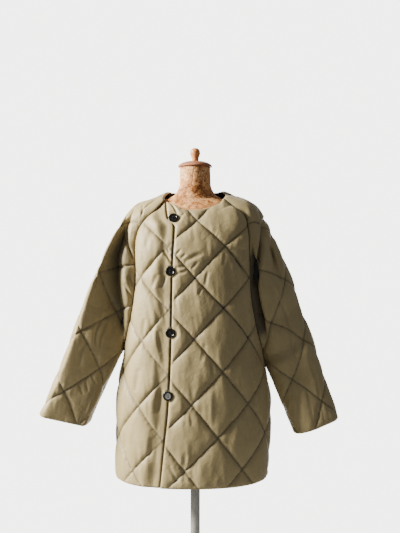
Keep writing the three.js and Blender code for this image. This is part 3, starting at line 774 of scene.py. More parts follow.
UNDERARM_RIGHT = table(
    ["share", "x", "y", "height", "thick"],
    [(0, 211, 0, -298, 68), (0.3, 236, -14, -352, 58), (1, 293, -52, -487, 46)],
)


def place_on(line, at):
    """Points of a table with x, y and height columns."""
    return np.stack([line("x", at), line("y", at), CHEST_LINE + line("height", at)], -1)


def stations(front, top, rear, thick):
    """Sleeve ovals from the front seam over the arm to the back seam. Each is a superellipse round a
    centre that lies between the seams' middle and the top: outwards it reaches the top, and across it
    the seams. Its points are then spaced evenly by length."""
    middle = (front + rear) / 2
    half = np.linalg.norm(front - rear, axis=1)[:, None] / 2
    depth = np.maximum(half, thick[:, None])
    end = np.pi - np.arcsin(np.minimum(1, half / depth))
    outward = (top - middle) / (1 - power(np.cos(end), ROUNDNESS))
    centre = top - outward
    sewn = half > 1
    forward = np.where(sewn, unit(front - rear), np.array([[0.0, -1.0, 0.0]]))
    wide = np.where(sewn, half / np.maximum(power(np.sin(end), ROUNDNESS), 1e-6), depth)
    turn = end * np.linspace(-1, 1, OVAL_STEPS + 1)[None]
    out_share = power(np.cos(turn), ROUNDNESS)[..., None]
    side_share = (-wide * power(np.sin(turn), ROUNDNESS))[..., None]
    ovals = centre[:, None] + outward[:, None] * out_share + forward[:, None] * side_share
    ovals[:, 0], ovals[:, -1] = front, rear
    lengths = np.cumsum(np.linalg.norm(np.diff(ovals, axis=1), axis=2), 1)
    lengths = np.concatenate([np.zeros((len(ovals), 1)), lengths], 1)
    even = np.linspace(0, 1, SLEEVE_COLUMNS + 1)
    spots = np.stack([np.interp(even, row / row[-1], np.arange(OVAL_STEPS + 1)) for row in lengths])
    rows = np.arange(len(ovals))[:, None] + 0 * spots
    return np.stack([between(ovals[..., axis], rows, spots) for axis in range(3)], -1), lengths[:, -1:]


def fold_in(points, length, folds):
    """Presses soft troughs towards each station's middle: a fold runs between two lengths down the
    sleeve, bell-shaped across, at a share of the way round from the front seam. Gives the points, and
    the painted shade of the trough beside the armhole: how deep a place lies in it, out to the seam."""
    centre = points.mean(1, keepdims=True)
    inward = unit(centre - points)
    share = np.linspace(0, 1, points.shape[1])[None]
    rim = smooth(0, SEAM_HOLD, share) * smooth(0, SEAM_HOLD, 1 - share)
    sunk = shade = 0 * length * share
    for fold in folds:
        start, stop = fold["between"]
        begun = smooth(start - FOLD_EASE, start + FOLD_START, length)
        along = begun * (1 - smooth(stop - FOLD_EASE, stop + FOLD_EASE, length))
        near = np.exp(-(((share - fold["share"]) / fold["width"]) ** 2))
        sunk = sunk + fold["deep"] * along * near * rim
        # A fold this near the seam paints shade over the strip between it and the seam.
        if fold["share"] < ARMHOLE:
            shade = shade + fold["deep"] * along * np.where(share < fold["share"], 1, near)
    return points + inward * sunk[..., None], shade


VALLEY_LEFT = table(
    ["height", "x"],
    [
        (-470, -318), (-309, -243), (-240, -212), (-226, -211), (-75, -223), (19, -228), (90, -211),
        (174, -183),
    ],
)
SLEEVE_FACE = table(
    ["across", "forward"],
    [(0, 0), (0.03, 0.6), (0.06, 0.88), (0.1, 1), (0.3, 0.84), (0.7, 0.46), (1, 0.14)],
)
FACE_FROM = 105
FACE_RUN = 110
VALLEY_BANK = 13
VALLEY_SHADE = 15
VALLEY_REACH = 110


def flattened(points, length, overarm, valley_line):
    """Flattens a sleeve's front between its outer rim and a valley line. Across from rim to valley the
    cloth comes forward within a tenth of the way, by the section's own depth, and then falls back
    evenly. Past the valley it rises again, bell-shaped, within two fingers' width. Gives the points,
    and a depth that stands for the shade of the valley, bell-shaped round it."""
    height = points[..., 2] - CHEST_LINE
    along = np.linspace(0, 800, 400)
    outer = np.interp(height, overarm("height", along)[::-1], overarm("x", along)[::-1])
    valley = valley_line("x", height)
    share = np.linspace(0, 1, points.shape[1])[None]
    front = share < 0.5
    forward = points[:, SLEEVE_COLUMNS // 2, 1][:, None] - points[..., 1]
    depth = np.max(np.where(front, forward, 0), axis=1, keepdims=True)
    across = np.clip((points[..., 0] - outer) / np.maximum(valley - outer, 1), 0, 1)
    past = points[..., 0] - valley
    floor_column = np.argmin(np.where(front, np.abs(past), 1e6), axis=1)[:, None]
    sunk = np.take_along_axis(forward, floor_column, 1) - SLEEVE_FACE("forward", 1.0) * depth
    bank = sunk * np.exp(-((past / VALLEY_BANK) ** 2))
    change = np.where(past > 0, bank, forward - depth * SLEEVE_FACE("forward", across))
    weight = smooth(FACE_FROM, FACE_FROM + FACE_RUN, length) * smooth(0, 0.07, share)
    weight = weight * (1 - smooth(0.42, 0.5, share))
    # Painted shade round the valley, for the cloth's colour.
    shade = VALLEY_SHADE * np.exp(-((past / VALLEY_REACH) ** 2)) * weight
    return points + (change * weight)[..., None] * np.array([0.0, 1.0, 0.0]), shade


def sleeve(seams, underarm_row, overarm, underarm, cuff_rows, drop, lattice, folds, valley=None):
    """A sleeve's places from the neck to the cuff. Above the underarm each station spans the two
    raglan seams, below it the one seam under the arm. drop gives the lengths down the overarm at the
    underarm and the cuff, lattice the place of a crossing of the stitch lines. Finer rows lie between
    the stations, drawn onto the seams within a tenth of the way round. Gives the points, their flat
    places and their shade."""
    front_seam, back_seam = seams
    raglan = ROWS - underarm_row
    i = np.arange(raglan + cuff_rows + 1)
    share = np.maximum(0, i - raglan) / cuff_rows
    length = np.interp(i, [0, raglan, raglan + cuff_rows], [0, *drop])
    top = place_on(overarm, length)
    shift = front_seam[underarm_row * FINE] - place_on(underarm, 0.0)
    seam = place_on(underarm, share) + shift[None] * (1 - share)[:, None]
    upper = (i < raglan)[:, None]
    rows = np.clip(ROWS - i, underarm_row, None) * FINE
    front = np.where(upper, front_seam[rows], seam)
    rear = np.where(upper, back_seam[rows], seam)
    high = NECK_THICK + (underarm("thick", 0.0) - NECK_THICK) * np.minimum(i / raglan, 1)
    thick = np.where(i < raglan, high, underarm("thick", share))
    points, around = stations(front, top, rear, thick)
    points, around, length, seam = (refined(v) for v in (points, around, length[:, None], seam))
    way = np.linspace(0, 1, SLEEVE_COLUMNS + 1)[None, :, None]
    fine = np.arange(len(points))
    rows = np.clip(ROWS * FINE - fine, underarm_row * FINE, None)
    upper = (fine < raglan * FINE)[:, None]
    front, rear = np.where(upper, front_seam[rows], seam), np.where(upper, back_seam[rows], seam)
    points = points + (front - points[:, 0])[:, None] * (1 - smooth(0, 0.1, way))
    points = points + (rear - points[:, -1])[:, None] * smooth(0.9, 1, way)
    across = (way[..., 0] - 0.5) * around
    # bank and the folds' shade are painted shade, handed on as shaded.
    bank = 0
    if valley:
        points, bank = flattened(points, length, overarm, valley)
    points, shade = fold_in(points, length, folds)
    return {
        "points": points,
        "shaded": shade + bank,
        "across": across - lattice[0],
        "down": length - lattice[1] + 0 * across,
    }


sleeve_left = sleeve(
    (underlap["points"][:, 0], back["points"][:, 0]),
    UNDERARM_LEFT_ROW,
    OVERARM_LEFT,
    UNDERARM_LEFT,
    cuff_rows=9,
    drop=(520, 775),
    lattice=(-55, 502),
    folds=[{"between": (150, 330), "share": 0.72, "width": 0.09, "deep": 16}],
    valley=VALLEY_LEFT,
)
sleeve_right = sleeve(
    (overlap["points"][:, -1], back["points"][:, -1]),
    UNDERARM_RIGHT_ROW,
    OVERARM_RIGHT,
    UNDERARM_RIGHT,
    cuff_rows=8,
    drop=(545, 766),
    lattice=(-50, 515),
    folds=[
        {"between": (195, 440), "share": 0.03, "width": 0.036, "deep": 36},
        {"between": (190, 300), "share": 0.3, "width": 0.06, "deep": 12},
        {"between": (420, 900), "share": 0.36, "width": 0.14, "deep": 16},
        {"between": (170, 360), "share": 0.7, "width": 0.09, "deep": 18},
    ],
)

# The finished walls of the five panels: shell, wadding and lining, quilted together. The padding swells
# between the stitch lines, the cloth puckers along them and hangs in soft streaks, and every edge is
# turned and rounded. The panels meet at the seams, and hang on the form.
BUTTONS = [
    {"height": 138, "x": -62, "deeper": 0},
    {"height": -14, "x": -69, "deeper": UNDERLAP_SINK},
    {"height": -188, "x": -68.4, "deeper": UNDERLAP_SINK},
    {"height": -363, "x": -75.2, "deeper": UNDERLAP_SINK},
]
BUTTON_CALM = (10, 30)
UNDERARM_CALM = (10, 90)
GATHER = 0.85
STREAK = 1.5
PUCKER_RUN = 6
ROLL_RUN = 26
SEAM_PINCH = 1.2
SEAM_PINCH_RUN = 2.5
RIM_RIPPLE = 0.9
RIPPLE_RUN = 10
RIPPLE_RISE = 2
EDGE_ROUND = 1.3
ON_RIM = 0.5
CREASE_EASE = 12
CREASE_SHADE = 0.7
CREASE_DEPTHS = (6, 18)
TROUGH_SHADE = 0.9
TROUGH_DEPTHS = (5, 26)
LINE_SHADE = 0.13
LINE_SHADE_RUN = 1.5
SEAM_SHADE = 0.8
SEAM_SHADE_RUN = 2
EDGE_SHADES = [0.1, 0.7, 1.0]
BENEATH_OVERLAP = (-54, -24)
CREVICE = (-9, -1)
CREVICE_CALM = (10, 24)
CREVICE_FADES_TO = -330
GRADIENT = np.array([1 / DIAMOND_WIDE, 1 / DIAMOND_TALL])
STEEP = np.linalg.norm(GRADIENT)


def front_place(height, x):
    """The point of the front at a height and a distance from the middle line."""
    reach_at, turn_at, _ = half_ring(False)
    height, x = np.array([float(height)]), np.array([float(x)])
    return ring_point(height, turn_at(height, reach_at(height, x)))[0]


button_places = np.array([front_place(b["height"], b["x"]) for b in BUTTONS])
underarm_places = np.array(
    [underlap["points"][UNDERARM_LEFT_ROW * FINE, 0], overlap["points"][UNDERARM_RIGHT_ROW * FINE, -1]]
)


def nearest(points, places):
    """How far each point lies from the nearest of some places."""
    return np.min([np.linalg.norm(points - place, axis=-1) for place in places], axis=0)


def stitch_lines(across, down):
    """For both families of stitch lines: the whole number of the nearest line, how far off it a place
    lies in millimetres, signed, and how far along it."""
    found = []
    for sign in (1, -1):
        value = across * GRADIENT[0] + sign * down * GRADIENT[1]
        line = np.round(value)
        along = (across * GRADIENT[1] - sign * down * GRADIENT[0]) / STEEP
        found.append((line, (value - line) / STEEP, along))
    return found


def padding(across, down):
    """The wadding's swell: PUFF times 1 - exp(-distance / PUFF_RUN) from both families of lines, and a
    narrow pinch of the needle right at the line."""
    swell, pinch = PUFF, 1
    for _, off, _ in stitch_lines(across, down):
        swell = swell * (1 - np.exp(-np.abs(off) / PUFF_RUN))
        pinch = pinch * (1 - np.exp(-np.abs(off) / PINCH_RUN))
    return swell + PINCH * (pinch - 1)


def puckers(across, down, seed):
    """Short gathers that leave a stitch line at right angles, and longer streaks that hang down from
    it; both are noise along the line, fading away from it with uneven lengths. Soft unevenness of the
    wadding lies under both."""
    total = 0
    for family, (line, off, along) in enumerate(stitch_lines(across, down)):
        far = np.abs(off)
        mark = seed + 7 * family
        side = np.sign(off)
        long = 8 + 5 * cloud(along / 27, line * 3.7 + side, mark)
        lean = along + 0.5 * side * far
        short = cloud(lean / 6.5, line * 5.3 + 2 * side, mark + 1)
        short = short + 0.4 * cloud(lean / 3.1, line * 2.3 + side, mark + 4)
        total = total + GATHER * short * (far / 3) * np.exp(1 - far / 3 - far / long / 2)
        streak = power(cloud((across + 0.16 * down) / 11, line * 4.1 + down / 150, mark + 2), 1.3)
        uneven = 0.6 + 0.5 * cloud(along / 45, line, mark + 3)
        total = total + STREAK * streak * (far / 15) * np.exp(1 - far / 15) * uneven
    soft = 1.1 * cloud(across / 42, down / 75, seed + 11) + 0.5 * cloud(across / 15, down / 34, seed + 12)
    return total + soft


def creased(points, creases):
    """Troughs as listed, seen from the front or the back: each gives its width, its depth and
    then x and height for every place of its path. It is bell-shaped across with small shoulders, and
    runs out at both ends. One with less than no depth is a ridge."""
    place = np.stack([points[..., 0], points[..., 2] - CHEST_LINE], -1)
    deep = 0 * place[..., 0]
    for width, most, *path in creases:
        off, share = near_path(place, np.reshape(path, (-1, 2)))
        across = off / width
        ends = np.clip(4 * share * (1 - share), 0, 1) ** 0.5
        deep = deep + most * ends * (1 - 0.6 * across**2) * np.exp(-(across**2))
    return deep


def normals_of(points):
    """Unit normals of a grid of points: the cross product of its two ways."""
    ways = [np.gradient(points, axis=0), np.gradient(points, axis=1)]
    return unit(np.cross(ways[1], ways[0]))


def rim_loop(rows, columns):
    """Numbers of the points round a grid, in order, each once."""
    low = np.arange(columns - 1)
    far = np.arange(rows - 1) * columns + columns - 1
    high = rows * columns - 1 - np.arange(columns - 1)
    near = np.arange(rows - 1, 0, -1) * columns
    return np.concatenate([low, far, high, near])


def grid_triangles(rows, columns, lift=None):
    """Two triangles for each cell of a grid, split along the diagonal that lies lower."""
    a = (np.arange(rows - 1)[:, None] * columns + np.arange(columns - 1)[None]).ravel()
    b, d = a + 1, a + columns
    c = d + 1
    split = np.ones(len(a), bool)
    if lift is not None:
        rise = lift.ravel()
        split = rise[a] + rise[c] <= rise[b] + rise[d]
    first = np.where(split[:, None], np.stack([a, b, c], 1), np.stack([a, b, d], 1))
    second = np.where(split[:, None], np.stack([a, c, d], 1), np.stack([b, c, d], 1))
    return np.concatenate([first, second])


def wall(name, node, skin, free, creases, seed, flip=False, loft=1, under=0, gap=0):
    """A panel's closed wall. Outside lies the base plus padding, puckers and turned edges along the
    normal; inside lies the base less the wall, on every third row and column; both follow the creases
    and whatever sinks the panel: under, its share that lies beneath another, and gap, the crevice at
    that one's edge. free names the sides that are open edges, of hem, neck, near and far; the others
    are seams. loft is the padding's share. The valley attribute is painted shade, from 0 to 1, by how
    deep in stitch lines, seams, creases and troughs a place lies, and in the crevice and on the turned
    edges. Gives the piece, its outside and the ways out of it."""
    base = skin["points"]
    rows, columns, _ = base.shape
    outward = normals_of(base) * (-1 if flip else 1)
    sides = {"hem": base[:1], "neck": base[-1:], "near": base[:, :1], "far": base[:, -1:]}
    apart = {side: np.linalg.norm(base - line, axis=-1) for side, line in sides.items()}
    none = np.full(base.shape[:2], 1e3)
    open_rim = np.min([none, *[apart[side] for side in free]], axis=0)
    seam_rim = np.min([none, *[apart[side] for side in sides if side not in free]], axis=0)
    rim = np.minimum(open_rim, seam_rim)
    underarm_calm = smooth(*UNDERARM_CALM, nearest(base, underarm_places))
    calm = smooth(*BUTTON_CALM, nearest(base, button_places)) * underarm_calm
    swell = padding(skin["across"], skin["down"]) * loft
    quarter = np.sqrt(np.maximum(0, 1 - np.maximum(0, 1 - open_rim / ROLL_RADIUS) ** 2))
    ripple = RIM_RIPPLE * cloud(skin["down"] / 8, skin["across"] / 8, seed + 20)
    outer = (
        swell * (1 - np.exp(-rim / EDGE_RUN)) * calm * (1 - under)
        + puckers(skin["across"], skin["down"], seed) * (1 - np.exp(-rim / PUCKER_RUN)) * (0.3 + 0.7 * calm)
        + ROLL * quarter * np.exp(-open_rim / ROLL_RUN)
        - SEAM_PINCH * np.exp(-seam_rim / SEAM_PINCH_RUN) * underarm_calm
        + ripple * np.exp(-rim / RIPPLE_RUN) * (1 - np.exp(-rim / RIPPLE_RISE))
    )
    pressed = creased(base, creases) * smooth(0, CREASE_EASE, rim) + UNDERLAP_SINK * under + GAP_SINK * gap
    inner_step = np.zeros_like(base)
    inner_step[:, 0] += unit(base[:, 1] - base[:, 0])
    inner_step[:, -1] += unit(base[:, -2] - base[:, -1])
    inner_step[0] += unit(base[1] - base[0])
    inner_step[-1] += unit(base[-2] - base[-1])
    base = base + inner_step * SEAM_GAP / 2
    outside = base + outward * (outer - pressed)[..., None]
    inside = base - outward * (WALL + pressed)[..., None]
    loop = rim_loop(rows, columns)
    flat_outside, flat_inside = outside.reshape(-1, 3), inside.reshape(-1, 3)
    step_in = unit(inner_step.reshape(-1, 3)[loop])
    sewn = (open_rim.ravel()[loop] >= ON_RIM).astype(int)
    round_by = EDGE_ROUND * (1 - sewn)[:, None]
    strip = [
        flat_outside[loop] * (1 - t) + flat_inside[loop] * t - step_in * round_by * math.sin(math.pi * t)
        for t in (0.2, 0.5, 0.8)
    ]
    sparse = inside[::INSIDE_STEP, ::INSIDE_STEP]
    few_rows, few_columns, _ = sparse.shape
    points = np.concatenate([flat_outside, *strip, sparse.reshape(-1, 3)])
    bands = [loop, *[rows * columns + n * len(loop) + np.arange(len(loop)) for n in range(3)]]
    first_inside = rows * columns + 3 * len(loop)
    few = first_inside + rim_loop(few_rows, few_columns)
    edge = []
    for upper, lower in zip(bands[:-1], bands[1:]):
        b, c = np.roll(upper, -1), np.roll(lower, -1)
        edge += [np.stack([upper, c, b], 1), np.stack([upper, lower, c], 1)]
    last, onward = bands[-1], np.roll(few, -1)
    k = np.arange(len(last))
    edge.append(np.stack([last, np.repeat(few, INSIDE_STEP), np.roll(last, -1)], 1))
    turn_over = last[(k[::INSIDE_STEP] + INSIDE_STEP) % len(last)]
    edge.append(np.stack([turn_over, few, onward], 1))
    edge = np.concatenate(edge)
    front = grid_triangles(rows, columns, swell)
    rear = grid_triangles(few_rows, few_columns)[:, ::-1] + first_inside
    triangles = np.concatenate([front, edge, rear])
    if flip:
        triangles = triangles[:, ::-1]
    shell = np.zeros(len(front) + 2 * len(loop), int)
    finish_of = np.concatenate([shell, *[sewn] * 5, sewn[::INSIDE_STEP], np.ones(len(rear), int)])
    piece = make(name, points, triangles, [shell_cloth, lining_cloth], "cloth", [node], finish_of)
    places = np.stack([skin["across"], skin["down"]], -1) / 1000
    flat_places = places.reshape(-1, 2)
    few_places = places[::INSIDE_STEP, ::INSIDE_STEP].reshape(-1, 2)
    per_point = np.concatenate([flat_places, *[flat_places[loop]] * 3, few_places])
    layer = piece.data.uv_layers.new(name="cloth")
    layer.uv.foreach_set("vector", per_point[triangles.ravel()].astype(np.float32).ravel())
    # Painted shade: the colour darkens in deep creases, deep troughs, stitch lines, along seams and in the
    # crevice.
    creases_shade = CREASE_SHADE * smooth(*CREASE_DEPTHS, pressed) * (1 - under)
    trough_shade = TROUGH_SHADE * smooth(*TROUGH_DEPTHS, skin.get("shaded", 0))
    lines = LINE_SHADE * np.exp(-swell / loft / LINE_SHADE_RUN)
    seams = SEAM_SHADE * np.exp(-seam_rim / SEAM_SHADE_RUN)
    painted_groove_shade = np.max(np.broadcast_arrays(lines, seams, gap, creases_shade, trough_shade), axis=0)
    # Painted shade on the turned edges' strip, darker towards the inside.
    strip_shade = np.repeat(EDGE_SHADES, len(loop))
    valley = np.concatenate([painted_groove_shade.ravel(), strip_shade, np.zeros(sparse.size // 3)])
    painted_shade_layer = piece.data.attributes.new("valley", "FLOAT", "POINT")
    painted_shade_layer.data.foreach_set("value", valley.astype(np.float32))
    return piece, outside, outward


shell_cloth, tree, shader = shader_of("shell_cloth")
flat = wire(tree, "ShaderNodeUVMap", {}, uv_map="cloth").outputs["UV"]
threads = {"Vector": flat, "Scale": 330.0, "Distortion": 0.4}
warp = wire(tree, "ShaderNodeTexWave", threads, bands_direction="X").outputs["Fac"]
weft = wire(tree, "ShaderNodeTexWave", threads, bands_direction="Y").outputs["Fac"]
woven = wire(tree, "ShaderNodeMath", {0: warp, 1: weft}, operation="MULTIPLY").outputs[0]
crumple = speckle(tree, 26, 5, 0.5)
grain = speckle(tree, 420, 3, 0)
tone = ramp(tree, crumple, [(0.3, (0.318, 0.252, 0.120)), (0.7, (0.352, 0.283, 0.141))])
# Painted shade: where the valley attribute is high, the cloth's colour goes towards near black.
painted_shade_share = wire(tree, "ShaderNodeAttribute", {}, attribute_name="valley").outputs["Fac"]
painted_shade_tone = blend(tree, spread(tree, painted_shade_share, 0.0, 0.94), tone, (0.022, 0.019, 0.012))
thread_tone = blend(tree, spread(tree, woven, 0.0, 0.10), painted_shade_tone, (0.22, 0.165, 0.07))
sheen = {"Sheen_Weight": 0.2, "Sheen_Roughness": 0.45, "Sheen_Tint": (1.0, 0.9, 0.72, 1)}
dress(tree, shader, thread_tone, spread(tree, crumple, 0.46, 0.60), Specular_IOR_Level=0.45, **sheen)
first = relief(tree, shader, woven, 0.00006)
second = relief(tree, shader, grain, 0.00012, first)
relief(tree, shader, speckle(tree, 75, 4, 0.8), 0.0011, second)

lining_cloth, tree, shader = shader_of("lining_cloth")
flat = wire(tree, "ShaderNodeUVMap", {}, uv_map="cloth").outputs["UV"]
diagonal = wire(tree, "ShaderNodeTexWave", {"Vector": flat, "Scale": 260.0}, bands_direction="DIAGONAL")
loose = speckle(tree, 30, 4, 0.6)
plain = ramp(tree, loose, [(0.3, (0.010, 0.010, 0.011)), (0.7, (0.022, 0.021, 0.021))])
dress(tree, shader, plain, spread(tree, loose, 0.34, 0.5))
first = relief(tree, shader, diagonal.outputs["Fac"], 0.00008)
relief(tree, shader, loose, 0.003, first)


def past_edge(skin, start, stop):
    """From 0 to 1 between two distances past the overlapping front's edge."""
    return smooth(start, stop, skin["reach"] - FRONT_EDGE("x", skin["height"]))


sunk = past_edge(underlap, *BENEATH_OVERLAP)
clear_of_buttons = smooth(*CREVICE_CALM, nearest(underlap["points"], button_places))
lower_part = smooth(HEM, CREVICE_FADES_TO, underlap["height"])
# crevice sinks the underlap along the overlap's edge, and the same share paints shade there.
crevice = past_edge(underlap, *CREVICE) * clear_of_buttons * (0.35 + 0.65 * lower_part)
OVERLAP_CREASES = [
    (48, -9, 112, 178, 140, 120, 140, 50), (4, 4, -70, 183, -50, 152), (5, 2.5, -53, 128, -29, 151),
    (8, 3, -31, 12, -3, 27, 23, 37), (5, 2, -52, 33, -38, 48), (5, 2, -40, 22, -25, 34),
    (6, 3, -56, -4, -30, -2), (6, 2.5, -52, -22, -21, -12), (5, 2, -10, -8, 9, 13),
    (6, 1.8, 80, 1, 85, 41), (6, 2.2, 37, -13, 31, -38, 30, -58), (5, 3, 25, -54, 16, -66, 10, -80),
    (13, 2.2, 95, 13, 98, -64), (4.5, 4, 113, 29, 129, 4, 147, -32), (5, 2.2, 136, 59, 140, 16),
    (4, 2, 97, 47, 105, 33), (13, 4, 112, -180, 111, -279, 108, -358, 99, -449, 91, -536),
    (9, -2, 45, -346, 47, -442), (6, 2.5, -71, -554, -49, -602), (6, 2.5, 104, -613, 126, -583),
    (8, 2, -25, -519, -33, -564, -30, -603), (7, 2, 28, -218, 20, -268), (7, 2, 59, -103, 51, -156),
    (6, 2, -14, -402, -8, -447), (7, 2.5, 138, -96, 146, -159, 158, -214),
    (8, 2.5, 164, -326, 169, -395),
]
UNDERLAP_CREASES = [
    (5, 5, -93, 47, -79, 30, -67, 10), (6, 3, -83, -24, -98, -63), (7, 2.5, -107, -21, -120, -61),
    (5, 2, -121, 19, -130, -1), (3.5, 2, -79, 53, -75, 36), (9, 3.5, -95, -342, -101, -376, -107, -416),
    (9, 2, -129, 99, -138, 47), (8, 2.5, -140, -147, -148, -199), (7, 2.5, -105, -180, -96, -243),
    (9, 2.5, -157, -290, -166, -358), (9, 2.5, -121, -480, -130, -553), (9, 2.5, -193, -442, -199, -523),
]
LEFT_CREASES = [
    (3.5, 3, -107, 202, -132, 183, -150, 167, -156, 146), (4, 2.5, -153, 182, -154, 149),
    (5, 7, -179, 176, -194, 137, -210, 93, -225, 43), (4, 4.5, -196, 143, -207, 117, -220, 87),
    (4, 3.5, -210, 131, -223, 99), (4.5, 6, -210, 90, -195, 59, -179, 21),
    (3.5, 3.5, -220, -5, -203, 1, -181, 4), (6, 6, -193, -29, -185, -48, -173, -63),
    (5, 4.5, -205, -50, -193, -73, -181, -97), (3.5, 3.5, -215, -122, -189, -116),
    (5, 5, -213, -127, -215, -171, -208, -230), (5, 3.5, -283, -12, -291, -58),
    (5, 2.5, -254, -77, -241, -105, -225, -140), (6, 3.2, -277, -157, -290, -195, -292, -244),
    (6, 2.8, -260, -160, -276, -207, -280, -250), (8, 2.5, -240, -97, -263, -129),
    (5, 2.6, -345, -326, -325, -371), (5, 2.4, -322, -316, -311, -363), (5, 2, -304, -308, -290, -340),
    (6, 2, -373, -368, -355, -409), (9, 2.5, -314, -212, -331, -246, -337, -287),
    (12, 3, -265, 13, -279, -97),
]
RIGHT_CREASES = [
    (9, 17, 205, 148, 197, 78, 182, -1, 176, -60), (6, 6, 226, 110, 226, 50, 236, -20),
    (4, 3, 182, 139, 186, 101), (4.5, 6, 214, 82, 231, 28, 251, -42),
    (4, 3.5, 230, 65, 243, 25, 254, -16), (6, -2.5, 220, -42, 235, -65, 251, -94),
    (6, 4, 252, -97, 264, -138, 281, -193), (8, 3, 280, -195, 293, -279), (9, 3, 302, -363, 303, -475),
    (7, 2.5, 268, -376, 265, -440), (8, 3, 212, -97, 221, -185), (9, 2.5, 332, -247, 350, -328),
    (8, 2.5, 359, -392, 350, -456), (8, 2.5, 295, -98, 307, -174),
]
BACK_CREASES = [
    (14, 5, -120, 60, -138, -20, -150, -120), (8, 3, -98, 110, -112, 70, -118, 20),
    (14, 5, 122, 70, 138, -30, 148, -110), (8, 3, 96, 120, 104, 84, 106, 30),
    (10, 2.5, -40, 128, 10, 122, 62, 134), (20, 3, -62, -40, -40, -140, -34, -262),
    (20, 3, 70, -60, 52, -170, 44, -285), (14, 3.5, -150, -140, -132, -240, -122, -332),
    (14, 3, 148, -200, 140, -290, 146, -370), (11, 2.5, -20, -330, -26, -400, -20, -470),
    (9, 2.2, 18, 40, 12, -10, 20, -60), (9, 2.5, 100, -420, 96, -470, 104, -540),
    (9, 2.5, -96, -450, -90, -510, -98, -570),
]

walls = []


def hang(name, node, skin, free, creases, seed, size, area, **ways):
    """A panel's wall, added to the list of walls. size and area, a flat size and area in metres, are not
    used.
    """
    piece, outside, outward = wall(name, node, skin, free, creases, seed, **ways)
    walls.append((name, skin, outside, outward))


hang(
    "overlap_front", "front_overlap", overlap, ("hem", "neck", "near"), OVERLAP_CREASES, 100,
    (0.36, 0.83), 0.25,
)
hang(
    "underlap_front", "front_underlap", underlap, ("hem", "neck", "far"), UNDERLAP_CREASES, 200,
    (0.30, 0.83), 0.19, under=sunk, gap=crevice,
)
hang(
    "back_panel", "back", back, ("hem", "neck"), BACK_CREASES, 300,
    (0.62, 0.85), 0.43, flip=True,
)
hang(
    "left_sleeve", "sleeve_left", sleeve_left, ("hem", "neck"), LEFT_CREASES, 400,
    (0.50, 0.78), 0.30, loft=SLEEVE_LOFT,
)
hang(
    "right_sleeve", "sleeve_right", sleeve_right, ("hem", "neck"), RIGHT_CREASES, 500,
    (0.50, 0.77), 0.30, flip=True, loft=SLEEVE_LOFT,
)


# Buttons: dark glossy resin, four holes in a sunk middle inside a raised rim, each sewn on with
# dark thread over a short shank, with a loop of round dark cord above it. The lowest has a pale
# grey middle painted on its face, a painted reflection.
BUTTON_RADIUS = 14
BUTTON_SEAT = 0.4
SHANK_TALL = 2.4
SHANK_RADIUS = 2.4
SHANK_SIDES = 20
SEWING_RADIUS = 0.42
SEWING_RISE = 2.2
SEWING_ARCH = 1.1
LOOP_CORD = 1.3
LOOP_RADIUS = 16
LOOP_TURN = (0.32, 0.68)
HOLE_OUT = 2.6
HOLE_RADIUS = 0.95
HOLE_DEEP = 1.6
UNDER_RINGS = 14
BUTTON_RINGS = 60
BUTTON_SIDES = 96
PALE_RADIUS = 8.6

button_resin, tree, shader = shader_of("button_resin")
swirl = speckle(tree, 240, 5, 2.5)
resin = ramp(tree, swirl, [(0.35, (0.003, 0.003, 0.003)), (0.7, (0.008, 0.008, 0.007))])
dress(tree, shader, resin, spread(tree, speckle(tree, 900, 2), 0.09, 0.15), Specular_IOR_Level=0.35)
relief(tree, shader, swirl, 0.00004)

# A pale grey face painted on the lowest button: a painted reflection.
painted_reflection_face, tree, shader = shader_of("painted_reflection_face")
reflection_mottle = speckle(tree, 300, 5, 2.0)
painted_reflection_tone = ramp(tree, reflection_mottle, [(0.3, (0.06, 0.061, 0.063)), (0.7, (0.19, 0.193, 0.197))])
dress(tree, shader, painted_reflection_tone, 0.2)

dark_cord, tree, shader = shader_of("dark_cord")
strands = wire(tree, "ShaderNodeTexWave", {"Vector": own_place(tree), "Scale": 500.0, "Distortion": 1.0})
black = ramp(tree, strands.outputs["Fac"], [(0.2, (0.012, 0.012, 0.012)), (0.8, (0.04, 0.038, 0.035))])
dress(tree, shader, black, 0.75)
relief(tree, shader, strands.outputs["Fac"], 0.0002)

BUTTON_FACE = table(
    ["radius", "rise"],
    [(0, 2.7), (7.6, 2.7), (8.8, 3.0), (10.2, 3.7), (11.6, 4.2), (12.7, 4.1), (13.6, 3.5), (14, 2.6)],
)
BUTTON_UNDER = table(["radius", "rise"], [(0, 0), (10.5, 0), (12.6, 0.5), (14, 1.6)])


def tube(path, radius, sides, side_way):
    """A round cord along a path that lies in a plane: at each point a ring turned about the path, from
    the plane's normal to the way across it."""
    along = unit(np.gradient(path, axis=0))
    across = unit(np.cross(along, side_way))
    turn = np.linspace(0, 2 * np.pi, sides, endpoint=False)
    ring = across[:, None] * np.cos(turn)[None, :, None] + side_way * np.sin(turn)[None, :, None]
    return closed_rings(path[:, None] + radius * ring)


def button_at(spot):
    """The button's own ways: to the right, up, and out of the cloth, and its seat on the front."""
    centre = front_place(spot["height"], spot["x"])
    right = unit(front_place(spot["height"], spot["x"] + 8) - centre)
    out = unit(np.cross(right, front_place(spot["height"] + 8, spot["x"]) - centre))
    return centre + out * BUTTON_SEAT, np.stack([right, np.cross(out, right), out])


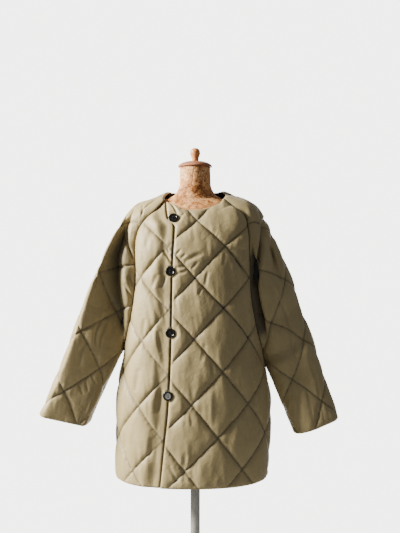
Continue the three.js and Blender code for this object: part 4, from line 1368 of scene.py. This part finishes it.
def button_body():
    """A disc of rings from the middle of the underside over the rim to the middle of the face. At each
    of the four holes the face dips by HOLE_DEEP, over a steep wall."""
    face = BUTTON_RADIUS * np.linspace(1, 0.01, BUTTON_RINGS) ** 0.9
    radius = np.concatenate([np.linspace(0.2, BUTTON_RADIUS, UNDER_RINGS), face])
    upper = np.arange(len(radius)) >= UNDER_RINGS
    rise = np.where(upper, BUTTON_FACE("rise", radius), BUTTON_UNDER("rise", radius))[:, None]
    turn = np.linspace(0, 2 * np.pi, BUTTON_SIDES, endpoint=False)[None]
    x, y = radius[:, None] * np.cos(turn), radius[:, None] * np.sin(turn)
    hole = np.sqrt((np.abs(x) - HOLE_OUT) ** 2 + (np.abs(y) - HOLE_OUT) ** 2)
    dip = HOLE_DEEP * (1 - smooth(HOLE_RADIUS - 0.2, HOLE_RADIUS + 0.35, hole)) * upper[:, None]
    return np.stack([x, y, SHANK_TALL + rise - dip], -1)


def join(parts):
    """Several skins as one: their points in a row, and their triangles counted on."""
    starts = np.cumsum([0] + [len(points) for points, _ in parts[:-1]])
    return (
        np.concatenate([points for points, _ in parts]),
        np.concatenate([triangles + start for (_, triangles), start in zip(parts, starts)]),
    )


for number, spot in enumerate(BUTTONS, 1):
    seat, ways = button_at(spot)
    foot = -spot["deeper"]
    shank_profile = [(0, foot), (SHANK_RADIUS, foot), (SHANK_RADIUS, SHANK_TALL), (0, SHANK_TALL)]
    shank = turned(eased(shank_profile, 0.3), SHANK_SIDES, (0, 0), 0)
    sewing = []
    for side in (-1, 1):
        t = np.linspace(-1, 1, 13)
        height = SHANK_TALL + SEWING_RISE + SEWING_ARCH * (1 - t**4)
        path = np.stack([HOLE_OUT * t, side * HOLE_OUT + 0 * t, height], 1)
        sewing.append(tube(path, SEWING_RADIUS, 8, np.array([0.0, 1.0, 0.0])))
    points, triangles = closed_rings(button_body())
    middle = points[triangles].mean(1)
    # The lowest button's middle takes the painted reflection.
    pale = (np.hypot(middle[:, 0], middle[:, 1]) < PALE_RADIUS) & (number == len(BUTTONS))
    name, finishes = f"resin_button_{number}", [button_resin, painted_reflection_face]
    make(name, seat + points @ ways, triangles, finishes, "button", [f"button_{number}"], pale)
    points, triangles = join([shank, *sewing])
    make(f"button_thread_{number}", seat + points @ ways, triangles, [dark_cord], "thread", [])
    angle = np.linspace(*LOOP_TURN, 25) * np.pi
    path = LOOP_RADIUS * np.stack([np.cos(angle), np.sin(angle), 0 * angle], 1)
    path[:, 2] = LOOP_CORD
    points, triangles = tube(path, LOOP_CORD, 12, np.array([0.0, 0.0, 1.0]))
    name, node = f"cord_loop_{number}", f"button_loop_{number}"
    make(name, seat + points @ ways, triangles, [dark_cord], "button_cord", [node])


# Quilting thread: a lock stitch in the cloth's own colour along every line of the diamonds, about
# four millimetres to a stitch, sewn before the panels are joined.
STITCH_WIDE = 0.75
STITCH_TALL = 0.5
STITCH_SHARE = 0.72
STITCH_SINK = 0.4

quilting_thread, tree, shader = shader_of("quilting_thread")
ply = speckle(tree, 1500, 2)
twisted = ramp(tree, ply, [(0.3, (0.20, 0.16, 0.095)), (0.7, (0.30, 0.25, 0.155))])
dress(tree, shader, twisted, 0.5, Sheen_Weight=0.3)
relief(tree, shader, ply, 0.0001)


def stitch_runs(skin, outside, outward):
    """Where each stitch line crosses each row of a panel: starts, ends and normals of the stitches
    between one row and the next."""
    runs = []
    rows = np.arange(len(outside))
    for sign in (1, -1):
        value = skin["across"] * GRADIENT[0] + sign * skin["down"] * GRADIENT[1]
        for line in range(math.ceil(value.min()), math.floor(value.max()) + 1):
            k = (value < line).sum(1)
            inside = (k > 2) & (k < value.shape[1] - 2)
            k = np.clip(k, 1, value.shape[1] - 1)
            low, high = value[rows, k - 1], value[rows, k]
            t = ((line - low) / np.maximum(high - low, 1e-9))[:, None]
            spot = outside[rows, k - 1] * (1 - t) + outside[rows, k] * t
            way = outward[rows, k]
            both = inside[:-1] & inside[1:]
            both[:2] = both[-2:] = False
            runs.append(np.concatenate([spot[:-1][both], spot[1:][both], way[:-1][both]], 1))
    return np.concatenate(runs)


def stitches(runs):
    """Each stitch is a spindle of two three-sided rings between two sunk tips."""
    start, end, way = runs[:, :3], runs[:, 3:6], runs[:, 6:]
    gap = (end - start) * (1 - STITCH_SHARE) / 2
    start, end = start + gap, end - gap
    aside = unit(np.cross(end - start, way)) * STITCH_WIDE / 2
    up = way * STITCH_TALL
    ring = [aside, up, -aside]
    corners = [start - up * STITCH_SINK]
    for t in (0.25, 0.75):
        middle = start * (1 - t) + end * t
        corners += [middle + side for side in ring]
    corners.append(end - up * STITCH_SINK)
    points = np.stack(corners, 1).reshape(-1, 3)
    tips = [(0, 2, 1), (0, 3, 2), (0, 1, 3), (7, 4, 5), (7, 5, 6), (7, 6, 4)]
    sides = [(1, 2, 5), (1, 5, 4), (2, 3, 6), (2, 6, 5), (3, 1, 4), (3, 4, 6)]
    numbers = 8 * np.arange(len(runs))[:, None, None]
    return points, (np.array(tips[:3] + sides + tips[3:])[None] + numbers).reshape(-1, 3)


for name, skin, outside, outward in walls:
    label = name.removesuffix("_front").removesuffix("_panel")
    runs = stitch_runs(skin, outside, outward)
    make(f"quilting_{label}", *stitches(runs), [quilting_thread], "thread", [])
